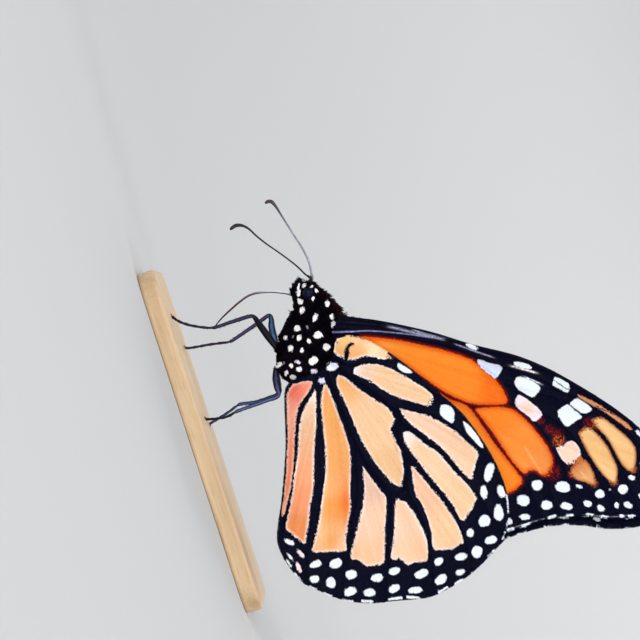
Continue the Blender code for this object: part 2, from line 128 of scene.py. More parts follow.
# Pale cells of the hindwing: outline, colours at places in it, colour of its rim. Cells without
# places are the rim's colour all over.
HIND_CELLS = (
    (((10.0, 22.2), (10.05, 23.4), (10.45, 24.4), (11.6, 25.85), (12.9, 27.0), (14.1, 27.95),
      (14.8, 28.3), (15.2, 27.7), (14.9, 26.8), (14.1, 25.5), (13.8, 24.3), (13.75, 23.0),
      (13.6, 22.3), (12.9, 21.6), (12.5, 21.0), (11.5, 20.7), (10.8, 21.1), (10.2, 21.8)),
     ((10.9, 22.2, (246, 204, 136)), (12.8, 21.6, AMBER), (11.2, 24.3, (247, 196, 150)),
      (13.3, 24.0, AMBER), (13.3, 26.3, PALE_BUFF), (14.6, 27.4, BUFF)), FROST),
    (((14.9, 23.2), (15.0, 24.5), (15.5, 26.0), (16.5, 27.5), (18.0, 29.0), (19.7, 30.5), (21.3, 31.8),
      (22.4, 32.2), (23.4, 31.2), (22.0, 29.0), (20.8, 27.2), (20.0, 26.4), (19.2, 25.7), (18.0, 24.8),
      (17.0, 23.9), (16.2, 22.9), (15.7, 22.45), (15.1, 22.6)),
     ((14.7, 22.7, WHITE), (15.8, 24.0, (244, 206, 172)), (17.5, 26.0, (250, 206, 160)),
      (21.5, 30.5, BUFF)), FROST),
    (((15.3, 20.1), (15.6, 20.8), (16.5, 21.5), (17.7, 22.2), (19.0, 23.2), (20.2, 24.1), (21.3, 25.1),
      (22.3, 25.7), (23.5, 26.0), (24.3, 25.7), (24.7, 25.2), (25.2, 25.0), (26.5, 25.1), (28.3, 25.4),
      (30.0, 25.2), (31.5, 24.9), (32.6, 24.3), (33.3, 23.9), (33.0, 23.3), (32.0, 22.6), (30.5, 22.0),
      (29.0, 21.4), (27.0, 20.9), (25.0, 20.5), (23.0, 20.3), (21.0, 20.1), (19.0, 19.9), (17.5, 19.7),
      (16.5, 19.6)),
     ((15.8, 20.1, AMBER), (17.4, 20.8, (247, 188, 130)), (21.0, 22.4, BUFF), (25.0, 23.4, BUFF),
      (30.0, 23.3, (243, 197, 150))), FROST),
    (((22.7, 27.3), (23.2, 28.2), (24.0, 29.5), (25.0, 30.9), (26.0, 31.9), (27.2, 33.0), (28.5, 34.0),
      (30.0, 34.8), (31.3, 35.6), (32.2, 35.9), (33.2, 35.4), (34.5, 34.5), (35.5, 33.8), (34.0, 32.9),
      (32.0, 32.1), (30.0, 31.3), (28.5, 30.3), (27.0, 29.3), (25.5, 28.2), (24.3, 27.6), (23.4, 27.3)),
     ((26.0, 30.5, SHELL), (32.5, 34.2, (250, 208, 172))), FROST),
    (((26.0, 26.9), (26.4, 27.6), (27.5, 28.4), (29.0, 29.3), (30.0, 30.3), (32.0, 31.2), (34.0, 32.0),
      (36.0, 33.1), (38.2, 33.7), (38.8, 33.3), (39.7, 32.5), (40.3, 31.6), (40.8, 31.0), (40.3, 30.5),
      (38.8, 30.3), (37.0, 29.8), (35.0, 29.0), (33.0, 28.2), (31.0, 27.5), (29.0, 26.8), (27.5, 26.4),
      (26.3, 26.5)),
     ((26.3, 27.0, FROST), (29.0, 28.4, BUFF), (38.0, 32.0, BUFF)), FROST),
    (((31.0, 26.3), (33.0, 27.2), (35.0, 28.0), (37.0, 28.8), (39.0, 29.4), (41.0, 29.9), (43.7, 30.0),
      (43.9, 29.4), (44.2, 28.4), (44.0, 27.2), (43.5, 25.7), (42.3, 25.7), (41.0, 26.0), (39.0, 26.1),
      (37.0, 26.0), (35.0, 25.5), (33.5, 25.7), (32.0, 26.0)),
     ((31.2, 26.2, ROSE), (33.6, 26.8, PEACH), (42.0, 28.2, BUFF)), FROST),
    (((34.9, 22.7), (35.2, 23.2), (36.0, 23.9), (38.0, 24.6), (40.0, 24.9), (42.0, 25.0), (44.0, 24.5),
      (44.7, 24.0), (44.4, 22.5), (44.4, 21.3), (43.6, 20.8), (43.0, 20.4), (43.2, 19.9), (42.8, 19.4),
      (42.0, 19.6), (40.0, 20.6), (38.0, 21.4), (36.0, 22.1)),
     ((38.0, 23.0, SHELL), (43.4, 22.6, (255, 207, 170))), FROST),
    (((29.2, 19.6), (31.0, 20.2), (33.0, 20.9), (34.0, 21.3), (35.0, 21.1), (37.0, 20.4), (39.0, 19.6),
      (41.0, 18.9), (43.0, 18.1), (43.0, 17.0), (42.7, 15.6), (41.7, 14.9), (41.2, 14.0), (40.8, 13.8),
      (40.0, 14.2), (38.5, 15.2), (37.0, 16.1), (35.0, 17.4), (33.0, 18.4), (31.0, 19.0), (29.3, 19.4)),
     ((32.0, 19.8, (238, 198, 172)), (37.0, 18.4, SHELL), (41.6, 16.4, (254, 203, 163))), FROST),
    (((16.0, 17.8), (16.1, 18.2), (18.0, 18.4), (20.0, 18.5), (23.0, 18.6), (26.0, 18.5), (28.0, 18.0),
      (30.0, 17.3), (32.0, 16.6), (34.0, 16.0), (36.0, 15.0), (38.0, 14.0), (39.5, 13.6), (39.6, 13.0),
      (39.2, 11.5), (38.8, 10.0), (38.2, 8.85), (36.6, 9.8), (34.8, 10.9), (32.3, 12.1), (30.3, 13.05),
      (28.6, 13.9), (27.2, 14.45), (24.4, 15.25), (21.8, 15.8), (19.1, 16.4), (17.5, 17.0)),
     ((16.6, 17.8, (240, 164, 94)), (20.0, 17.3, (243, 172, 100)), (26.0, 16.8, AMBER),
      (33.4, 15.8, (250, 132, 54)), (33.0, 13.4, (250, 164, 88)), (30.4, 13.7, (250, 184, 122)),
      (36.4, 10.3, (246, 194, 140)), (37.8, 12.0, (247, 166, 94)), (38.6, 13.4, BUFF)), FROST),
    (((16.2, 16.4), (17.5, 16.1), (19.0, 15.6), (21.0, 15.0), (23.0, 14.2), (25.0, 13.4), (27.0, 12.7),
      (29.0, 12.0), (30.0, 11.6), (32.0, 10.5), (34.0, 9.65), (36.0, 8.6), (36.9, 8.2), (36.3, 7.6),
      (35.2, 6.9), (34.2, 6.3), (33.6, 6.3), (32.5, 6.9), (31.0, 7.8), (29.0, 8.9), (27.0, 9.8),
      (25.0, 10.8), (23.0, 11.7), (21.0, 12.4), (19.5, 13.2), (18.5, 13.9), (17.7, 14.7), (17.0, 15.6)),
     ((16.6, 16.1, (248, 226, 206)), (18.6, 14.9, (240, 200, 168)), (21.2, 13.7, (236, 188, 150)),
      (24.0, 12.6, (238, 180, 138)), (27.2, 11.2, (246, 172, 128)), (30.2, 10.0, (248, 160, 114)),
      (35.0, 7.8, (238, 148, 90))), FROST),
    (((14.6, 13.4), (14.5, 14.5), (14.8, 16.2), (15.3, 16.2), (16.0, 15.6), (16.8, 14.6), (17.7, 13.5),
      (19.0, 12.7), (20.5, 12.0), (22.0, 11.4), (24.0, 10.7), (26.0, 9.9), (28.0, 9.0), (30.0, 7.8),
      (32.0, 6.5), (31.5, 6.3), (30.0, 7.1), (28.0, 8.0), (26.0, 8.9), (24.0, 9.6), (22.0, 10.4),
      (20.5, 10.9), (19.0, 11.3), (17.0, 11.9), (15.6, 12.4)),
     ((15.0, 13.6, (240, 118, 98)), (15.5, 15.6, (248, 150, 128)), (18.5, 12.4, (255, 174, 154)),
      (24.5, 10.0, (252, 148, 118)), (30.5, 7.0, (240, 130, 100))), BLUSH),
    (((16.3, 29.0), (17.2, 29.9), (18.1, 30.5), (18.15, 30.1), (17.7, 29.2), (16.9, 28.75)), (), WHITE),
    (((24.0, 33.2), (24.3, 34.0), (25.3, 34.5), (26.9, 33.9), (26.3, 33.1), (25.2, 32.5), (24.3, 32.8)),
     (), WHITE),
    (((27.2, 35.4), (29.0, 36.4), (31.3, 36.95), (31.5, 36.6), (30.0, 35.8), (28.6, 35.3)), (), WHITE),
)

# Spots of the hindwing's border: x, z, width, height, then lean in degrees and colour where they
# differ from 0 and WHITE.
HIND_SPOTS = (
    (35.3, 36.6, 2.9, 1.4, -30), (38.5, 37.4, 2.1, 1.1), (37.8, 35.0, 2.0, 1.2, -15),
    (41.3, 36.1, 2.5, 1.5, -20), (41.8, 33.8, 1.8, 1.8), (44.7, 33.85, 1.3, 1.9),
    (45.7, 31.4, 1.9, 1.6, -45), (42.8, 31.3, 1.4, 1.1, -15), (45.65, 29.0, 1.2, 1.9),
    (47.75, 28.2, 0.9, 1.7), (45.3, 25.7, 1.2, 1.5), (47.9, 25.2, 1.3, 2.2, 15),
    (46.25, 22.8, 1.3, 2.2), (48.2, 21.2, 1.1, 2.1, -12), (44.65, 19.2, 1.2, 1.8),
    (47.05, 18.4, 1.2, 1.9), (44.8, 16.5, 1.3, 1.8), (46.5, 14.8, 1.3, 1.8, -15),
    (43.2, 13.1, 1.4, 1.8), (45.5, 12.2, 1.4, 1.9), (41.0, 11.5, 1.5, 1.9), (43.4, 9.95, 1.6, 1.5),
    (40.2, 8.7, 1.1, 1.9), (42.2, 7.85, 1.2, 1.5), (13.85, 19.8, 1.15, 1.9, -8),
    (15.25, 17.75, 0.95, 1.1, 0, HAZE), (38.1, 7.1, 1.8, 0.7, 25, PINK_WHITE),
    (36.0, 6.1, 1.8, 0.8, 45), (39.9, 6.2, 2.0, 0.75, 8, PINK_WHITE), (38.0, 5.5, 1.5, 0.5, 25),
)

# Dashes of the hindwing's edge: start and end. They are white on the wing and its fringe, but those
# with a colour are in that colour and in the fringe alone.
HIND_DASHES = (
    ((46.3, 34.1), (47.2, 32.6)), ((48.4, 30.2), (48.8, 29.4)), ((48.9, 28.4), (49.2, 26.8)),
    ((49.2, 26.0), (49.7, 24.1)), ((49.6, 21.6), (48.7, 19.6)), ((48.7, 19.2), (48.3, 17.0)),
    ((48.0, 15.0), (47.3, 13.2)), ((47.2, 12.2), (46.3, 10.7)), ((45.6, 9.5), (44.5, 8.3)),
    ((43.8, 7.7), (43.0, 6.6)), ((42.2, 5.8), (40.4, 5.2)), ((39.6, 5.2), (38.2, 4.8)),
    ((39.1, 38.1), (42.0, 37.3), WHITE), ((42.6, 37.1), (45.3, 35.3), WHITE),
    ((10.1, 22.9), (12.1, 26.3), (246, 196, 150)), ((11.9, 26.1), (14.4, 28.2), (246, 196, 150)),
)

# Veins of the hindwing: radius at its start and end, then its course from the hinge outward.
HIND_VEINS = (
    (0.26, 0.10, ((12.6, 20.4), (13.9, 21.8), (14.4, 23.4), (14.8, 25.5), (16.2, 27.7), (18.6, 29.9),
                  (21.5, 32.3), (24.0, 34.6))),
    (0.22, 0.10, ((11.7, 23.6), (11.9, 22.9), (12.7, 22.4), (13.8, 22.0))),
    (0.28, 0.10, ((13.4, 20.2), (15.2, 21.7), (17.5, 23.4), (20.2, 25.3), (22.4, 26.9), (23.4, 29.8),
                  (25.4, 32.1), (27.8, 34.1), (30.6, 35.7), (33.2, 37.4))),
    (0.22, 0.09, ((22.4, 26.9), (24.5, 27.0), (26.0, 28.2), (28.0, 29.4), (30.0, 30.9), (32.0, 31.7),
                  (34.0, 32.5), (36.0, 33.3), (38.4, 34.3), (41.0, 35.0), (43.6, 36.4))),
    (0.20, 0.09, ((24.6, 26.5), (26.0, 25.9), (29.0, 26.2), (31.0, 27.0), (33.0, 27.9), (35.0, 28.7),
                  (37.0, 29.3), (39.0, 29.9), (41.0, 30.3), (44.4, 30.4), (48.0, 30.1))),
    (0.20, 0.09, ((29.0, 26.2), (31.6, 25.6), (33.6, 24.7), (35.5, 24.9), (38.0, 25.4), (41.0, 25.5),
                  (44.0, 25.0), (46.8, 24.4), (49.6, 23.6))),
    (0.30, 0.18, ((13.6, 19.0), (15.5, 19.1), (18.0, 19.3), (21.0, 19.5), (25.0, 19.8), (28.5, 20.4),
                  (31.5, 21.5), (33.6, 22.4), (34.3, 23.6), (33.6, 24.7))),
    (0.20, 0.09, ((33.6, 22.4), (36.0, 21.6), (38.5, 20.6), (41.0, 19.5), (43.5, 18.8), (46.0, 17.6),
                  (48.6, 16.8))),
    (0.22, 0.09, ((25.0, 19.8), (28.2, 18.9), (31.0, 18.2), (33.5, 17.2), (36.5, 15.6), (39.0, 14.3),
                  (41.5, 13.2), (44.2, 11.6), (46.7, 11.0))),
    (0.24, 0.09, ((13.8, 18.2), (15.8, 17.2), (17.5, 16.6), (19.5, 16.0), (22.0, 15.2), (25.0, 14.3),
                  (27.0, 13.8), (29.0, 13.0), (31.0, 12.0), (33.0, 10.8), (35.5, 9.4), (38.0, 8.3),
                  (41.4, 7.2), (44.0, 8.0))),
    (0.22, 0.09, ((14.2, 17.4), (15.8, 16.4), (17.2, 14.9), (18.5, 13.4), (21.0, 12.3), (24.0, 11.1),
                  (26.5, 10.0), (29.0, 8.7), (31.5, 7.2), (33.5, 6.1), (35.6, 4.9))),
)

# Marks of the forewing, given as those of the hindwing.
FORE_CELLS = (
    (((11.05, 25.0), (12.2, 27.8), (13.35, 30.2), (14.8, 32.7), (16.2, 35.1), (17.4, 36.9),
      (18.4, 38.3), (19.6, 39.5), (21.8, 40.8), (23.2, 41.7), (24.6, 42.1), (26.5, 42.15),
      (26.05, 39.8), (25.25, 37.8), (24.1, 36.1), (22.3, 34.2), (20.4, 32.7), (17.0, 30.2),
      (14.0, 27.4), (12.0, 25.2)),
     ((11.6, 25.8, EMBER), (13.3, 27.6, (248, 150, 56)), (16.0, 32.0, FLAME), (20.0, 36.4, FLAME),
      (22.6, 37.2, FLAME), (24.2, 41.0, (247, 116, 30))), EMBER),
    (((26.2, 38.0), (26.8, 40.5), (27.6, 42.3), (28.7, 43.3), (30.3, 44.2), (32.0, 44.9), (34.0, 45.6),
      (36.0, 45.9), (37.3, 45.5), (38.2, 44.2), (37.2, 43.2), (36.8, 42.2), (37.0, 41.5), (35.6, 40.7),
      (33.5, 40.0), (31.0, 39.3), (28.5, 38.5), (26.6, 37.8)),
     ((28.0, 40.0, (250, 138, 44)), (33.0, 42.3, (253, 148, 62)), (36.6, 44.8, (244, 150, 74))), EMBER),
    (((24.9, 36.1), (26.3, 37.0), (29.0, 37.8), (32.0, 38.7), (35.0, 39.8), (37.5, 40.7), (38.2, 40.6),
      (38.7, 39.7), (39.0, 38.7), (39.1, 37.2), (38.4, 36.2), (36.0, 35.6), (32.0, 34.8), (28.0, 33.9),
      (24.5, 33.0), (22.6, 32.6), (22.4, 33.4), (23.6, 34.4)),
     ((26.0, 35.5, FLAME), (34.0, 37.5, FLAME)), EMBER),
    (((12.2, 24.4), (14.5, 27.2), (17.0, 29.5), (20.0, 31.8), (22.5, 32.1), (26.0, 33.0), (30.0, 33.9),
      (34.0, 34.7), (38.0, 35.5), (39.2, 35.0), (39.6, 33.2), (39.0, 32.0), (36.0, 31.2), (32.0, 30.2),
      (27.0, 28.8), (22.0, 27.0), (18.0, 25.4), (14.5, 24.0)),
     ((16.0, 26.8, FLAME), (24.0, 30.0, FLAME), (35.0, 33.0, FLAME)), EMBER),
    (((12.4, 22.9), (15.0, 23.4), (19.0, 24.8), (23.0, 26.3), (28.0, 28.2), (33.0, 29.7), (37.5, 30.8),
      (39.2, 30.9), (39.8, 29.9), (38.5, 28.9), (34.0, 27.3), (28.0, 25.5), (22.0, 24.0), (17.0, 22.9),
      (13.5, 22.4)),
     ((20.0, 24.6, GLOW), (34.0, 28.6, GLOW)), AMBER),
    (((37.0, 49.6), (37.8, 50.3), (38.6, 50.7), (40.2, 51.0), (41.8, 50.6), (41.0, 49.4), (40.4, 48.4),
      (39.4, 47.8), (38.7, 48.0), (37.9, 48.8)),
     ((40.4, 49.8, (238, 182, 122)), (39.2, 49.5, (226, 156, 98)), (37.9, 49.2, (196, 104, 48))), RUST),
    (((32.8, 54.5), (33.5, 55.2), (35.5, 56.5), (37.5, 57.6), (39.0, 57.8), (40.5, 57.3), (41.6, 56.6),
      (41.3, 55.8), (40.0, 55.2), (38.0, 54.8), (36.0, 54.4), (34.0, 53.5), (32.7, 53.3)),
     ((34.0, 54.4, STRAW), (38.0, 56.2, STRAW)), RUST),
    (((33.6, 52.3), (34.5, 53.0), (36.5, 53.9), (38.5, 54.3), (40.5, 54.5), (42.0, 53.9), (42.5, 53.3),
      (41.5, 52.5), (40.0, 51.9), (38.0, 51.3), (36.0, 50.9), (34.6, 50.7), (33.9, 50.9)),
     ((34.5, 51.6, STRAW), (38.0, 52.8, STRAW)), RUST),
    (((28.7, 52.4), (30.4, 54.3), (31.5, 55.2), (33.0, 56.4), (35.0, 57.9), (35.9, 58.2), (35.5, 57.6),
      (33.5, 56.2), (32.0, 55.0), (30.5, 53.6), (29.2, 52.5)),
     ((30.0, 53.6, (206, 140, 100)), (32.0, 55.5, (238, 172, 140)), (34.6, 57.2, (226, 150, 104))),
     SIENNA),
    (((21.3, 45.2), (22.3, 46.9), (23.0, 47.0), (22.0, 45.1)), (), WHITE),
    (((23.6, 44.6), (23.7, 45.3), (24.7, 46.6), (25.8, 47.4), (26.3, 47.3), (27.0, 46.1), (26.5, 45.4),
      (25.3, 44.4), (24.3, 44.1)),
     (), WHITE),
    (((26.1, 44.1), (26.6, 44.8), (28.2, 45.9), (29.4, 46.5), (30.0, 46.3), (30.4, 45.1), (29.5, 44.6),
      (28.2, 43.7), (27.4, 43.3), (26.5, 43.6)),
     ((28.0, 44.9, (255, 214, 186)), (26.8, 44.2, PINK_WHITE), (29.8, 45.8, PINK_WHITE)), PINK_WHITE),
    (((19.35, 40.1), (20.2, 41.4), (21.5, 43.1), (22.7, 41.8), (22.2, 41.25), (20.6, 40.2)),
     ((21.2, 41.6, (214, 224, 252)),), HAZE),
    (((25.2, 50.0), (26.5, 51.4), (27.1, 51.5), (27.9, 51.0), (26.9, 49.9), (26.3, 49.3), (25.8, 49.5)),
     (), WHITE),
    (((29.1, 51.9), (29.4, 52.4), (31.2, 53.6), (31.5, 52.3), (30.0, 51.0), (29.4, 51.0)), (), WHITE),
    (((29.5, 50.5), (29.9, 51.0), (31.8, 51.9), (32.2, 50.8), (32.5, 49.3), (30.4, 48.7), (29.8, 49.3)),
     (), WHITE),
    (((34.7, 49.4), (36.0, 50.1), (37.2, 49.9), (37.9, 48.7), (37.7, 47.7), (36.3, 47.1), (35.1, 47.0),
      (35.0, 48.0)),
     ((36.2, 48.5, BLUSH),), PINK_WHITE),
)

FORE_SPOTS = (
    (17.3, 39.85, 1.95, 0.8, 50), (36.7, 59.0, 1.5, 0.7, 25), (40.7, 46.1, 2.15, 1.75, 72),
    (43.5, 45.8, 1.85, 1.15, 62), (39.3, 42.7, 1.75, 1.55, 72), (42.45, 43.1, 1.65, 1.5, 72),
    (40.8, 40.1, 1.9, 1.75, 72), (43.1, 39.6, 1.65, 0.95, 67), (40.9, 36.9, 1.5, 1.5),
    (43.0, 37.2, 1.2, 1.0), (40.9, 34.1, 1.5, 1.5), (43.1, 34.3, 1.1, 1.4), (41.0, 31.6, 1.3, 1.4),
    (42.8, 31.6, 1.0, 1.3), (41.35, 48.4, 1.25, 0.6, 52), (44.1, 48.8, 1.3, 1.1, 45),
    (43.3, 50.9, 1.45, 1.35, 60), (45.3, 50.4, 1.3, 0.95, 42), (43.1, 52.5, 0.42, 0.38),
    (45.6, 52.7, 1.15, 0.68, -18), (43.7, 54.3, 1.55, 1.45), (46.1, 54.3, 1.4, 1.0, 40),
    (42.5, 56.0, 1.15, 0.8, 52), (45.4, 56.4, 1.0, 0.6), (41.6, 58.1, 1.6, 0.9, 10),
    (43.3, 57.5, 0.9, 0.8), (46.5, 57.4, 0.9, 1.2, 20), (44.2, 59.2, 1.5, 0.8, -20),
    (39.7, 59.9, 1.4, 0.5, 20), (46.0, 59.5, 0.8, 0.8),
)

FORE_DASHES = (
    ((47.9, 54.9), (47.7, 53.6)), ((47.4, 53.3), (47.2, 52.5)), ((46.9, 51.0), (46.4, 49.9)),
    ((46.0, 49.2), (45.5, 48.0)), ((45.1, 46.4), (44.8, 45.2)), ((44.4, 44.0), (44.3, 42.6)),
    ((44.3, 40.2), (44.3, 38.6)), ((44.2, 37.7), (44.2, 36.4)), ((44.4, 35.2), (44.4, 34.0)),
    ((44.3, 33.0), (44.1, 31.8)), ((48.1, 57.2), (48.2, 56.0)), ((47.5, 59.2), (47.9, 58.2)),
    ((45.6, 60.8), (46.8, 60.1)),
)

FORE_VEINS = (
    (0.30, 0.12, ((7.75, 23.5), (8.3, 24.9), (9.5, 27.5), (11.3, 30.8), (13.9, 35.1), (17.2, 39.8),
                  (20.3, 44.8), (22.2, 47.2), (24.5, 49.7), (27.2, 52.3), (30.0, 54.7), (32.8, 56.9),
                  (35.9, 58.9), (39.1, 60.4), (42.3, 61.2))),
    (0.34, 0.12, ((8.6, 21.9), (8.9, 23.0), (9.6, 25.0), (10.5, 27.4), (11.6, 30.0), (12.9, 32.7),
                  (14.6, 35.9), (16.5, 38.9), (18.6, 42.2), (20.6, 45.2))),
    (0.30, 0.10, ((9.3, 21.9), (9.9, 23.8), (11.0, 26.9), (12.3, 29.8), (13.9, 33.0), (15.6, 36.1),
                  (18.1, 39.3), (20.8, 42.6), (23.2, 45.8), (25.8, 49.0), (29.6, 52.6), (33.5, 55.9),
                  (37.8, 58.4), (42.0, 59.0))),
    (0.16, 0.09, ((19.4, 39.6), (21.0, 41.0), (23.0, 42.2), (26.6, 42.6))),
    (0.18, 0.08, ((24.0, 43.0), (27.0, 47.6), (29.2, 50.6), (32.6, 52.7), (36.0, 54.3), (39.0, 55.0),
                  (42.0, 55.2), (46.9, 55.6))),
    (0.18, 0.08, ((26.6, 42.6), (30.3, 47.4), (33.2, 49.4), (36.0, 50.5), (39.0, 51.4), (42.0, 52.4),
                  (46.8, 52.9))),
    (0.18, 0.08, ((27.2, 42.6), (30.2, 44.9), (34.0, 46.5), (37.0, 47.1), (40.0, 47.6), (42.6, 49.9),
                  (46.0, 50.0))),
    (0.20, 0.08, ((25.6, 37.6), (26.2, 40.0), (27.2, 42.6))),
    (0.22, 0.08, ((9.8, 21.8), (11.2, 24.6), (14.0, 27.3), (17.0, 29.9), (20.4, 32.5), (22.4, 34.1),
                  (24.3, 36.0), (25.6, 37.5), (29.0, 38.2), (32.0, 39.1), (35.0, 40.2), (37.5, 41.2),
                  (44.0, 42.0))),
    (0.20, 0.08, ((26.4, 42.4), (29.5, 44.2), (33.0, 45.8), (37.0, 46.4), (39.5, 44.4), (44.4, 44.6))),
    (0.20, 0.08, ((21.0, 32.7), (24.5, 33.0), (28.0, 33.6), (32.0, 34.5), (36.0, 35.4), (40.0, 35.9),
                  (44.2, 36.0))),
    (0.22, 0.08, ((9.9, 21.7), (13.0, 23.3), (18.0, 24.9), (23.0, 26.7), (28.0, 28.6), (33.0, 30.1),
                  (39.0, 31.7), (44.0, 32.8))),
)

# Black strokes over the marks: half width, then the course.
HIND_STROKES = (
    (0.36, ((13.5, 21.9), (12.7, 22.3), (12.3, 22.5))),
    (0.24, ((12.8, 22.3), (12.0, 22.6), (11.65, 23.1), (11.55, 23.5))),
)
FORE_STROKES = (
    (0.07, ((25.0, 49.2), (26.8, 50.6), (28.4, 51.9))),
    (0.10, ((29.5, 50.6), (30.6, 51.3), (31.9, 52.1))),
    (0.08, ((30.9, 54.2), (31.9, 55.2), (33.1, 56.5))),
)
# Soft strokes over everything: half width, strength, colour, course. Some are pale or dark marks of the
# scales, some painted highlights.
FORE_SOFT_MARKS_AND_HIGHLIGHTS = (
    (0.50, 0.90, (6, 0, 8), ((7.9, 22.2), (8.8, 25.2), (10.2, 27.8), (11.5, 30.2))),
    # the next four are painted highlights: the sheen of the glossy front vein, as pale lines and a
    # speckled band
    (0.085, 1.0, (166, 166, 216),
     ((8.8, 20.7), (9.2, 21.7), (9.85, 24.0), (10.6, 26.6), (11.7, 29.3), (12.7, 31.6), (13.8, 33.8),
      (14.8, 35.9))),
    (0.17, 0.75, (190, 190, 226),
     ((10.6, 28.9), (11.7, 30.8), (13.0, 32.8), (14.2, 34.9), (15.3, 36.8))),
    (0.09, 0.75, (214, 214, 236), ((12.1, 32.1), (13.4, 34.0), (14.4, 35.6))),
    (0.12, 0.04, (100, 120, 176), ((7.9, 22.9), (9.0, 25.4), (10.05, 27.8), (10.98, 30.2))),
    (0.09, 0.85, (190, 184, 216), ((15.9, 37.3), (18.3, 40.4), (20.0, 42.7))),
    (0.13, 1.00, (255, 242, 238), ((21.5, 44.1), (22.8, 46.1), (24.1, 48.0))),
    (0.10, 0.95, WHITE, ((23.5, 45.4), (24.8, 46.9), (25.9, 48.1))),
    (0.17, 0.45, (255, 190, 128), ((33.0, 42.6), (36.0, 43.3), (38.4, 43.95))),
    # a painted highlight: the lit tips of the outer edge's fringe
    (0.06, 0.45, (215, 215, 235),
     ((44.1, 36.5), (44.15, 41.0), (44.6, 44.2), (45.6, 48.0), (46.9, 51.3), (47.7, 54.8))),
    (0.12, 0.42, (255, 216, 164), ((38.7, 49.0), (41.1, 50.0))),
    (0.08, 0.60, (200, 120, 80), ((32.3, 55.9), (34.5, 57.6))),
)
# Places where the ground beside the orange is dark red: x, z and reach.
HIND_REDS = ((12.3, 22.6, 1.7),)
FORE_REDS = (
    (14.0, 28.5, 7.0), (18.5, 34.5, 7.5), (25.6, 38.2, 8.5), (33.0, 39.5, 8.5), (38.0, 45.2, 3.5),
)
# Places where scales of the marks and of a darker colour are sprinkled together: x, z, reach, colour.
HIND_SPECKLES = ((14.8, 28.2, 0.9, RUST), (22.9, 31.7, 1.0, INK))
FORE_SPECKLES = (
    (33.4, 47.7, 1.3, MAROON), (32.1, 46.9, 0.9, MAROON), (30.6, 46.1, 0.7, MAROON),
    (37.9, 48.7, 1.1, MAROON), (39.4, 47.9, 0.8, MAROON), (34.3, 47.6, 1.3, FOX),
    (38.3, 45.4, 1.5, MAROON), (38.4, 49.3, 1.2, FOX), (33.2, 52.6, 1.2, MAROON),
    (33.6, 54.0, 1.2, FOX), (34.3, 51.6, 1.1, FOX), (41.4, 56.6, 0.8, RUST), (42.3, 53.4, 0.8, RUST),
    (41.6, 50.6, 0.8, RUST),
)


# ---------------------------------------------------------------- places, colours and numbers

def at(x, y, z):
    """World place, in metres, of a point of the elevation."""
    return Vector(((x - MIDDLE_X) * UNIT, y * UNIT, z * UNIT + BASE_TOP))


def placed(points):
    """The same for an array of points."""
    points = np.array(points, float) * UNIT
    points[:, 0] -= MIDDLE_X * UNIT
    points[:, 2] += BASE_TOP
    return points


def drawing_place(points):
    """Points of the world, in metres, as units of the elevation."""
    points = np.array(points, float)
    points[:, 2] -= BASE_TOP
    points /= UNIT
    points[:, 0] += MIDDLE_X
    return points


def linear(colour):
    """A screen colour as the linear light that the shaders take."""
    value = np.asarray(colour, float) / 255
    return np.where(value <= 0.04045, value / 12.92, ((value + 0.055) / 1.055) ** 2.4)


def unit(vectors):
    """Vectors with their length made one."""
    return vectors / np.maximum(np.linalg.norm(vectors, axis=-1, keepdims=True), 1e-9)


def smooth_step(value, low, high):
    t = np.clip((value - low) / (high - low), 0.0, 1.0)
    return t * t * (3 - 2 * t)


def grain(points):
    """A value from 0 to 1 for each point that follows no pattern."""
    return np.modf(np.abs(np.sin(points @ (12.9898, 78.233)) * 43758.5453))[0]


# ---------------------------------------------------------------- shapes from curves

def run_lengths(points):
    """How far each point of a course lies along it."""
    return np.concatenate(([0.0], np.cumsum(np.linalg.norm(np.diff(points, axis=0), axis=1))))


def along(points, position):
    """Points at positions from 0 to 1, by length, on a smooth curve through the points."""
    points = np.asarray(points, float)
    lengths = run_lengths(points)
    position = np.atleast_1d(position) * lengths[-1]
    last = len(points) - 1
    index = np.clip(np.searchsorted(lengths[1:], position), 0, last - 1)
    span = lengths[index + 1] - lengths[index]
    t = ((position - lengths[index]) / span)[:, None]
    before = np.maximum(index - 1, 0)
    after = np.minimum(index + 2, last)
    start, end = points[index], points[index + 1]
    slope_in = (end - points[before]) * (span / (lengths[index + 1] - lengths[before]))[:, None]
    slope_out = (points[after] - start) * (span / (lengths[after] - lengths[index]))[:, None]
    return ((2 * t**3 - 3 * t**2 + 1) * start + (t**3 - 2 * t**2 + t) * slope_in
            + (3 * t**2 - 2 * t**3) * end + (t**3 - t**2) * slope_out)


def rounded(outline, parts=4):
    """A closed outline with its corners rounded, as parts points for each of its own."""
    outline = np.asarray(outline, float)
    before, after, next_after = (np.roll(outline, step, axis=0) for step in (1, -1, -2))
    rows = []
    for step in range(parts):
        t = step / parts
        rows.append(0.5 * (
            2 * outline + (after - before) * t
            + (2 * before - 5 * outline + 4 * after - next_after) * t**2
            + (3 * outline - before - 3 * after + next_after) * t**3))
    return np.stack(rows, axis=1).reshape(-1, 2)


def segment_distance(points, start, end):
    """Distance of points from a line segment, and how far along it the nearest place is."""
    run = np.subtract(end, start)
    t = np.clip((points - start) @ run / max(run @ run, 1e-12), 0.0, 1.0)
    return np.linalg.norm(points - start - t[:, None] * run, axis=1), t


def course_distance(points, course):
    """Distance of points from the nearest place on a course."""
    return np.min([segment_distance(points, *ends)[0] for ends in zip(course, course[1:])], axis=0)


def inside_depth(points, outline):
    """How deep points lie inside a closed outline; negative outside it."""
    depth = np.full(len(points), 1e9)
    odd = np.zeros(len(points), bool)
    for start, end in zip(outline, np.roll(outline, -1, axis=0)):
        depth = np.minimum(depth, segment_distance(points, start, end)[0])
        crosses = (start[1] > points[:, 1]) != (end[1] > points[:, 1])
        slope = (end[0] - start[0]) / (end[1] - start[1] if end[1] != start[1] else 1e-12)
        odd ^= crosses & (points[:, 0] < start[0] + slope * (points[:, 1] - start[1]))
    return np.where(odd, depth, -depth)


